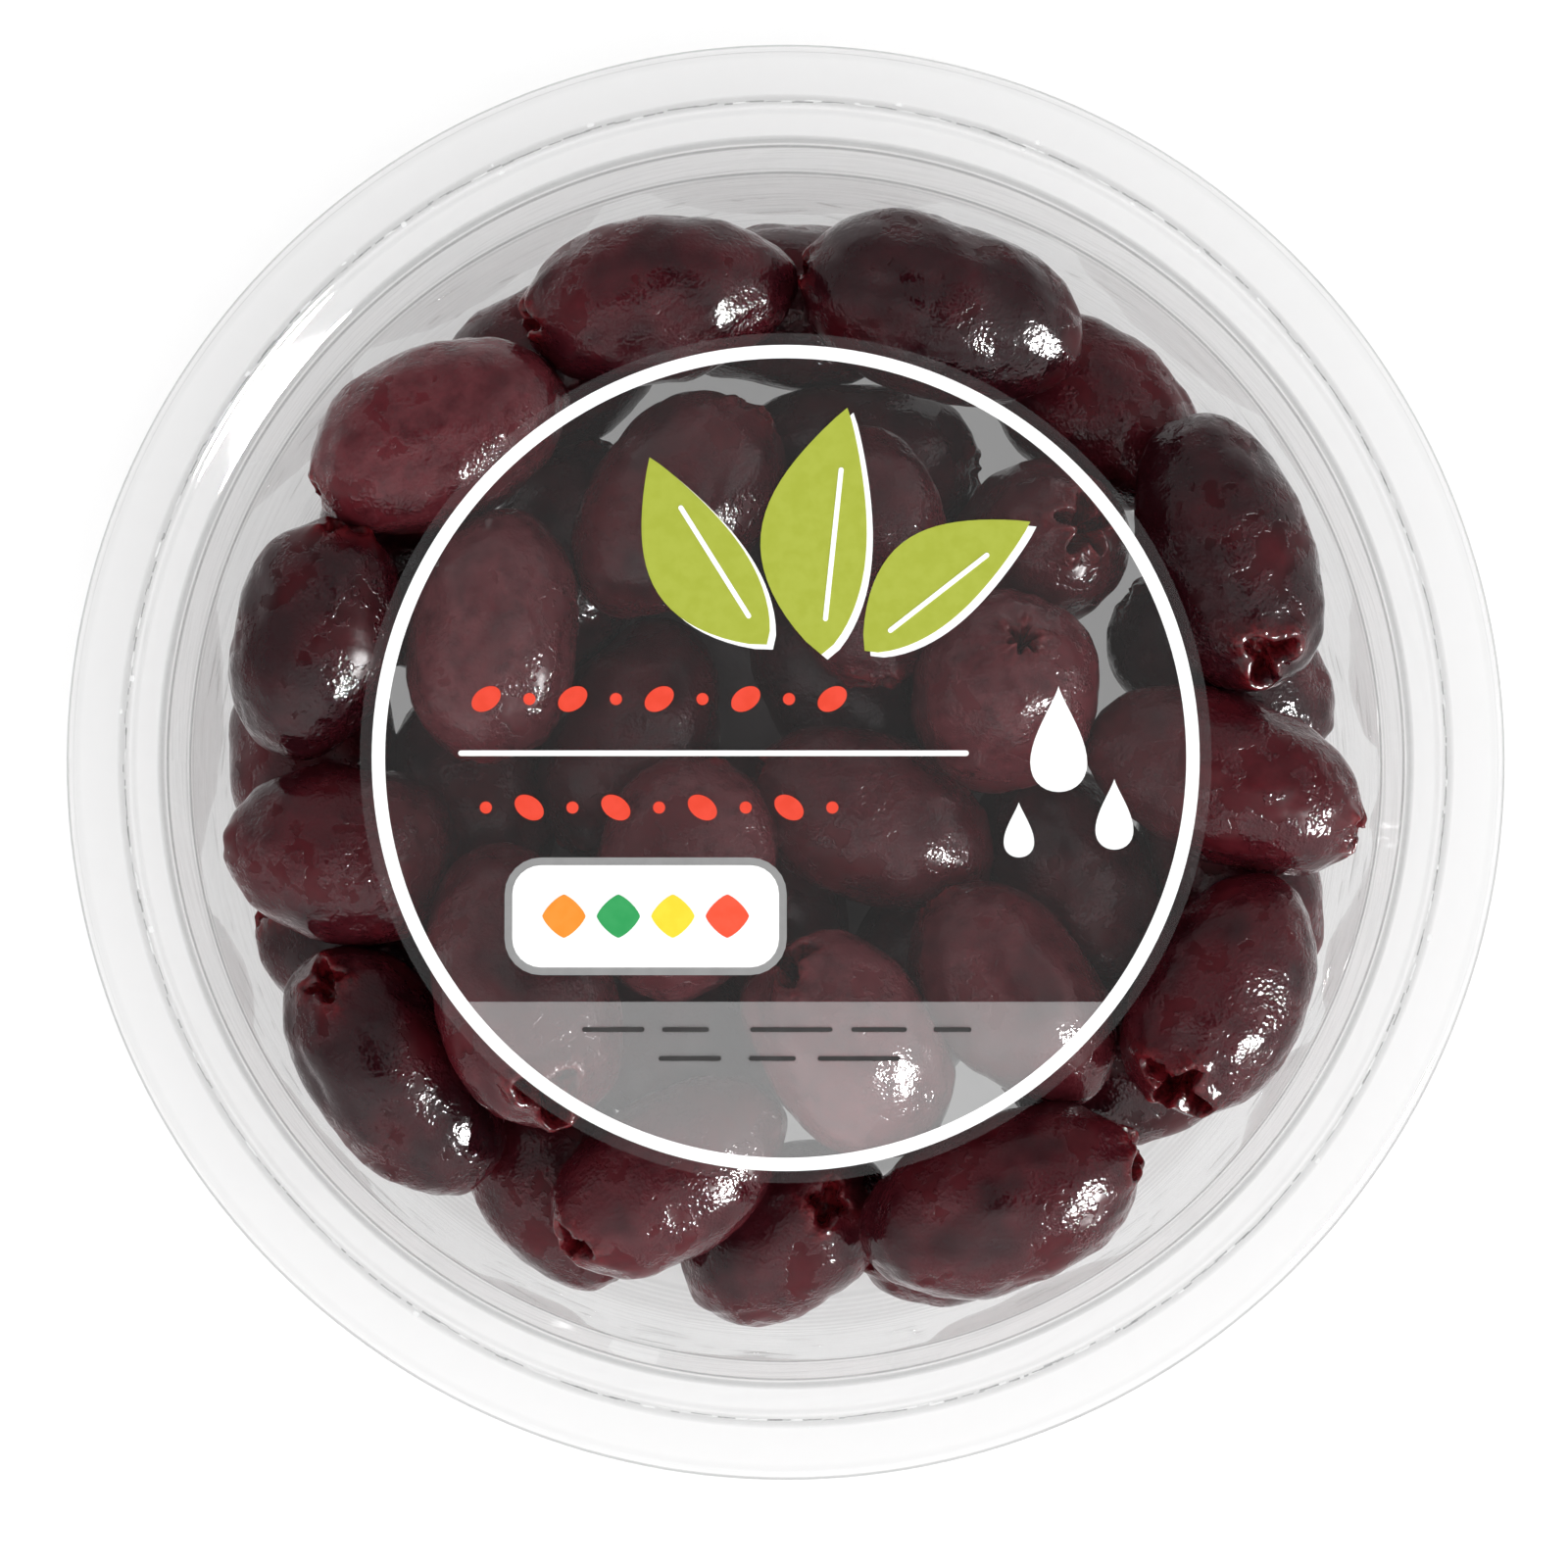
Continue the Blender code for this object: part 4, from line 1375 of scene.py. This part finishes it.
def build_core():
    """The low lumpy mass inside the heap, coloured as painted shade."""
    mesh = bpy.data.meshes.new("olive_core")
    bm = bmesh.new()
    bmesh.ops.create_cone(
        bm,
        cap_ends=True,
        cap_tris=True,
        segments=48,
        radius1=CORE_WIDE,
        radius2=CORE_NARROW,
        depth=CORE_DEPTH,
    )
    bmesh.ops.subdivide_edges(bm, edges=bm.edges, cuts=3, use_grid_fill=True)
    for vertex in bm.verts:
        place = np.array(vertex.co) / MM
        vertex.co *= 1 + CORE_WAVE_SHARE * float(waves(place[None], CORE_WAVE, 3)[0])
        vertex.co.z += CORE_HEIGHT
    bm.to_mesh(mesh)
    bm.free()
    mesh.shade_smooth()
    mesh.materials.append(shade_core_material())
    return ride_as(new_object("olive_core", mesh))


def dome(middle, normal, along, length, width, height, sides=10, rings=4):
    """A small drop that sits on a surface, all in metres."""
    normal = Vector(normal).normalized()
    along = (Vector(along) - normal * Vector(along).dot(normal)).normalized()
    side = normal.cross(along)
    middle = Vector(middle)
    points = [middle + normal * height]
    for ring in range(1, rings + 1):
        tilt = math.pi / 2 * ring / rings
        out, up = math.sin(tilt), math.cos(tilt)
        for i in range(sides):
            turn = 2 * math.pi * i / sides
            points.append(
                middle
                + along * (length * out * math.cos(turn))
                + side * (width * out * math.sin(turn))
                + normal * (height * up)
            )
    points.append(middle - normal * height * 0.3)
    faces = [(0, 1 + i, 1 + (i + 1) % sides) for i in range(sides)]
    for ring in range(rings - 1):
        start = 1 + ring * sides
        faces += [
            (start + i, start + sides + i, start + sides + (i + 1) % sides, start + (i + 1) % sides)
            for i in range(sides)
        ]
    start = 1 + (rings - 1) * sides
    faces += [(start + (i + 1) % sides, start + i, len(points) - 1) for i in range(sides)]
    return [tuple(point) for point in points], faces


def skin_spots(olive_names):
    """All points of some olives and the normals there."""
    spots, normals = [], []
    for name in olive_names:
        mesh = bpy.data.objects[name].data
        places = np.zeros(len(mesh.vertices) * 3, np.float32)
        mesh.vertices.foreach_get("co", places)
        spots.append(places.reshape(-1, 3))
        normals.append(np.array([tuple(corner.vector) for corner in mesh.vertex_normals]))
    return np.concatenate(spots), np.concatenate(normals)


def build_drops(settings, spots, normals, material):
    """Drops of brine that stand on the upper sides of the olives."""
    draw = np.random.default_rng(DROP_SEED)
    upward = np.flatnonzero(normals[:, 2] > DROP_UPWARD)
    parts = []
    for index in draw.choice(upward, settings.drop_count, replace=False):
        size = settings.drop_radius * float(np.clip(draw.lognormal(0, DROP_SPREAD), *DROP_LIMITS))
        width = size * draw.uniform(0.8, 1)
        parts.append(dome(spots[index], normals[index], DROP_LONG_WAY, size, width, size * 0.6, 8, 3))
    points, faces = joined(parts)
    return ride_as(mesh_object("brine_drops", points, faces, material))


def build_mist(settings, spots, normals, lamp_side, material):
    """Very fine drops with painted glints, round each glint, where the skin faces between the lamp and the
    camera.
    """
    draw = np.random.default_rng(MIST_SEED)
    between = Vector(lamp_side) + Vector((0, 0, 1))
    facing = normals @ np.array(between).astype(float)
    facing /= np.linalg.norm(between)
    chance = np.clip((facing - MIST_FACING) / MIST_RANGE, 0, None) ** MIST_POWER
    parts = []
    for index in draw.choice(len(spots), settings.mist_count, replace=False, p=chance / chance.sum()):
        size = settings.mist_radius * float(np.clip(draw.lognormal(0, MIST_SPREAD), *MIST_LIMITS))
        width = size * draw.uniform(0.6, 1)
        parts.append(dome(spots[index], normals[index], DROP_LONG_WAY, size, width, size * 0.5, 6, 2))
    points, faces = joined(parts)
    return ride_as(mesh_object("brine_mist", points, faces, material))


def build_streaks(settings, material):
    """Long thin smears of brine on the inside of the wall."""
    draw = np.random.default_rng(SMEAR_SEED)
    parts = []
    for _ in range(settings.streak_count):
        turn = draw.uniform(0, 2 * math.pi)
        height = draw.uniform(*SMEAR_HEIGHT)
        radius = inside_radius(height) + OLIVE_CLEARANCE - SMEAR_SINK
        middle = Vector((radius * math.cos(turn), radius * math.sin(turn), height)) * MM
        inward = (-math.cos(turn), -math.sin(turn), 0.08)
        level = (-math.sin(turn), math.cos(turn), draw.normal(0, SMEAR_SLOPE))
        length = draw.uniform(*SMEAR_LENGTH) * MM
        width = draw.uniform(*SMEAR_WIDTH) * MM
        parts.append(dome(middle, inward, level, length, width, SMEAR_THICK * MM, 12, 3))
    points, faces = joined(parts)
    return ride_as(mesh_object("brine_streaks", points, faces, material))


def drop_material():
    """A drop of brine on dark skin, which shows the skin's colour under its gloss."""
    material, tree = start_material("brine drop")
    cloud = noise(tree, place_coordinates(tree), 2.0, detail=1.0)
    colour = blend_colours(tree, cloud, opaque(DROP_DARK), opaque(DROP_PALE))
    end_material(tree, principled(tree, {"Base Color": colour, "Roughness": 0.04, "IOR": BRINE_IOR}))
    return material


def painted_glint_material():
    """Fine drops with a painted glint: their colour runs from pale grey to near white."""
    material, tree = start_material("painted glint mist")
    cloud = ramp(tree, noise(tree, place_coordinates(tree), 0.8, detail=1.0), 0.35, 0.65)
    colour = blend_colours(tree, cloud, opaque(MIST_PAINTED_GLINT_LOW), opaque(MIST_PAINTED_GLINT_HIGH))
    end_material(tree, principled(tree, {"Base Color": colour, "Roughness": 0.2, "IOR": BRINE_IOR}))
    return material


def smear_material():
    """A thin smear of brine, clear and slightly red."""
    return clear_material("brine", BRINE_TINT, 1.5, 0.05, 0.02)


def build_floor(settings):
    """A wide level floor, just under the foot of the tub."""
    mesh = bpy.data.meshes.new("floor")
    corners = [(x * FLOOR_HALF, y * FLOOR_HALF, 0) for x, y in ((-1, -1), (1, -1), (1, 1), (-1, 1))]
    mesh.from_pydata(corners, [], [(0, 1, 2, 3)])
    mesh.materials.append(floor_material(settings))
    floor = new_object("floor", mesh)
    floor.location.z = -FLOOR_SINK
    return floor


def build_sky(settings):
    """A white tent all round with a dark hole over the tub, where the camera looks in."""
    world = bpy.data.worlds.new("light tent")
    bpy.context.scene.world = world
    world.use_nodes = True
    tree = world.node_tree
    tree.nodes.clear()
    direction = add_node(tree, "ShaderNodeTexCoord").outputs["Generated"]
    hole_middle = (0.0, math.sin(settings.tilt), math.cos(settings.tilt))
    bright_side = (math.cos(settings.sky_turn), math.sin(settings.sky_turn), 0.0)
    overhead, toward = [alignment(tree, direction, side) for side in (hole_middle, bright_side)]
    rim = math.cos(settings.opening)
    walls = ramp(tree, toward, *TENT_RANGE, settings.sky_back, settings.sky_front)
    outside_hole = ramp(tree, overhead, rim - HOLE_BLUR, rim + HOLE_BLUR, 1.0, 0.0)
    strength = maths(tree, "MULTIPLY", walls, outside_hole)
    tent = add_node(tree, "ShaderNodeBackground", {"Color": WHITE, "Strength": strength})
    add_node(tree, "ShaderNodeOutputWorld", {"Surface": tent.outputs[0]})


def toward_lamp(settings):
    """Direction from the tub to the small lamp."""
    turn, rise = settings.key_turn, settings.key_rise
    return Vector((math.cos(rise) * math.cos(turn), math.cos(rise) * math.sin(turn), math.sin(rise)))


def build_key(settings):
    """A small bright lamp low at the front right, which only makes glints."""
    lamp = bpy.data.lights.new("key lamp", "AREA")
    lamp.shape = "DISK"
    lamp.size = settings.key_size
    lamp.energy = settings.key_power
    key = bpy.data.objects.new("key lamp", lamp)
    bpy.context.scene.collection.objects.link(key)
    away = toward_lamp(settings)
    key.location = away * LAMP_DISTANCE + Vector((0, 0, LAMP_AIM))
    key.rotation_euler = away.to_track_quat("Z", "Y").to_euler()
    key.visible_diffuse = False
    return key


def build_camera(settings):
    """Looks nearly straight down. Rim and middle lie where the picture has them."""
    data = bpy.data.cameras.new("camera")
    camera = bpy.data.objects.new("camera", data)
    bpy.context.scene.collection.objects.link(camera)
    rim = Vector((0, 0, TUB_HIGH.z))
    tilt = settings.tilt
    camera.location = rim + Vector((0, -math.sin(tilt), math.cos(tilt))) * settings.distance
    camera.rotation_euler = (tilt, 0, 0)
    width = PICTURE_PIXELS * TUB_HIGH.x / RIM_PIXELS
    data.sensor_width = SENSOR_WIDTH
    data.lens = SENSOR_WIDTH * settings.distance / width
    data.shift_x = (PICTURE_PIXELS / 2 - MIDDLE_X) / PICTURE_PIXELS
    data.shift_y = (MIDDLE_Y - PICTURE_PIXELS / 2) / PICTURE_PIXELS
    bpy.context.scene.camera = camera


class OLIVES_OT_tub(bpy.types.Operator):
    """Builds the clear tub."""

    bl_idname = "olives.tub"
    bl_label = "Tub"

    def execute(self, context):
        build_tub(context.scene.olives_tub)
        return {"FINISHED"}


class OLIVES_OT_film(bpy.types.Operator):
    """Builds the film and the marks along its seal."""

    bl_idname = "olives.film"
    bl_label = "Film"

    def execute(self, context):
        build_film(context.scene.olives_tub)
        build_seal_marks(context.scene.olives_tub)
        return {"FINISHED"}


class OLIVES_OT_label(bpy.types.Operator):
    """Builds the label's fields and its print."""

    bl_idname = "olives.label"
    bl_label = "Label"

    def execute(self, context):
        build_label_fields(context.scene.olives_label)
        build_print(context.scene.olives_label)
        return {"FINISHED"}


class OLIVES_OT_heap(bpy.types.Operator):
    """Builds the olives and the core under them."""

    bl_idname = "olives.heap"
    bl_label = "Olives"

    def execute(self, context):
        settings = context.scene.olives_heap
        heap = settled_heap(context.scene.olives_tub.wall / MM)
        skin = skin_material(settings)
        shown = len(SHOWN_OLIVES)
        build_olives("olives_by_the_wall", heap[:OUTER_COUNT], 0, FINE_RINGS, FINE_SIDES, settings, skin)
        inner = heap[OUTER_COUNT:shown]
        build_olives("olives_in_the_middle", inner, OUTER_COUNT, FINE_RINGS, FINE_SIDES, settings, skin)
        build_olives("olives_at_the_bottom", heap[shown:], shown, PLAIN_RINGS, PLAIN_SIDES, settings, skin)
        build_core()
        return {"FINISHED"}


class OLIVES_OT_brine(bpy.types.Operator):
    """Adds the drops and smears of brine."""

    bl_idname = "olives.brine"
    bl_label = "Brine"

    def execute(self, context):
        settings = context.scene.olives_brine
        if "olives_by_the_wall" not in bpy.data.objects:
            raise RuntimeError("build the olives before the brine")
        stage = context.scene.olives_stage
        spots, normals = skin_spots(("olives_by_the_wall", "olives_in_the_middle"))
        build_drops(settings, spots, normals, drop_material())
        build_mist(settings, spots, normals, toward_lamp(stage), painted_glint_material())
        build_streaks(settings, smear_material())
        return {"FINISHED"}


class OLIVES_OT_stage(bpy.types.Operator):
    """Sets up the floor, the light and the camera."""

    bl_idname = "olives.stage"
    bl_label = "Stage"

    def execute(self, context):
        settings = context.scene.olives_stage
        build_floor(settings)
        build_sky(settings)
        build_key(settings)
        build_camera(settings)
        context.scene.view_settings.view_transform = "Standard"
        return {"FINISHED"}


STEPS = (OLIVES_OT_tub, OLIVES_OT_film, OLIVES_OT_label, OLIVES_OT_heap, OLIVES_OT_brine, OLIVES_OT_stage)


class OLIVES_PT_panel(bpy.types.Panel):
    """Lists the pieces and their settings."""

    bl_label = "Tub of olives"
    bl_idname = "OLIVES_PT_panel"
    bl_space_type = "VIEW_3D"
    bl_region_type = "UI"
    bl_category = "Olives"

    def draw(self, context):
        for step in STEPS:
            self.layout.operator(step.bl_idname)
        for title, kind in SETTINGS:
            box = self.layout.box()
            group = getattr(context.scene, title)
            for field in kind.__annotations__:
                box.prop(group, field)


SETTINGS = (
    ("olives_tub", TubSettings),
    ("olives_label", LabelSettings),
    ("olives_heap", OliveSettings),
    ("olives_brine", BrineSettings),
    ("olives_stage", StageSettings),
)


def register():
    for title, kind in SETTINGS:
        bpy.utils.register_class(kind)
        setattr(bpy.types.Scene, title, PointerProperty(type=kind))
    for step in STEPS:
        bpy.utils.register_class(step)
    bpy.utils.register_class(OLIVES_PT_panel)


def unregister():
    bpy.utils.unregister_class(OLIVES_PT_panel)
    for step in reversed(STEPS):
        bpy.utils.unregister_class(step)
    for title, kind in reversed(SETTINGS):
        delattr(bpy.types.Scene, title)
        bpy.utils.unregister_class(kind)


def main():
    register()
    bpy.ops.olives.tub()
    bpy.ops.olives.film()
    bpy.ops.olives.label()
    bpy.ops.olives.heap()
    bpy.ops.olives.brine()
    bpy.ops.olives.stage()


if __name__ == "__main__":
    main()
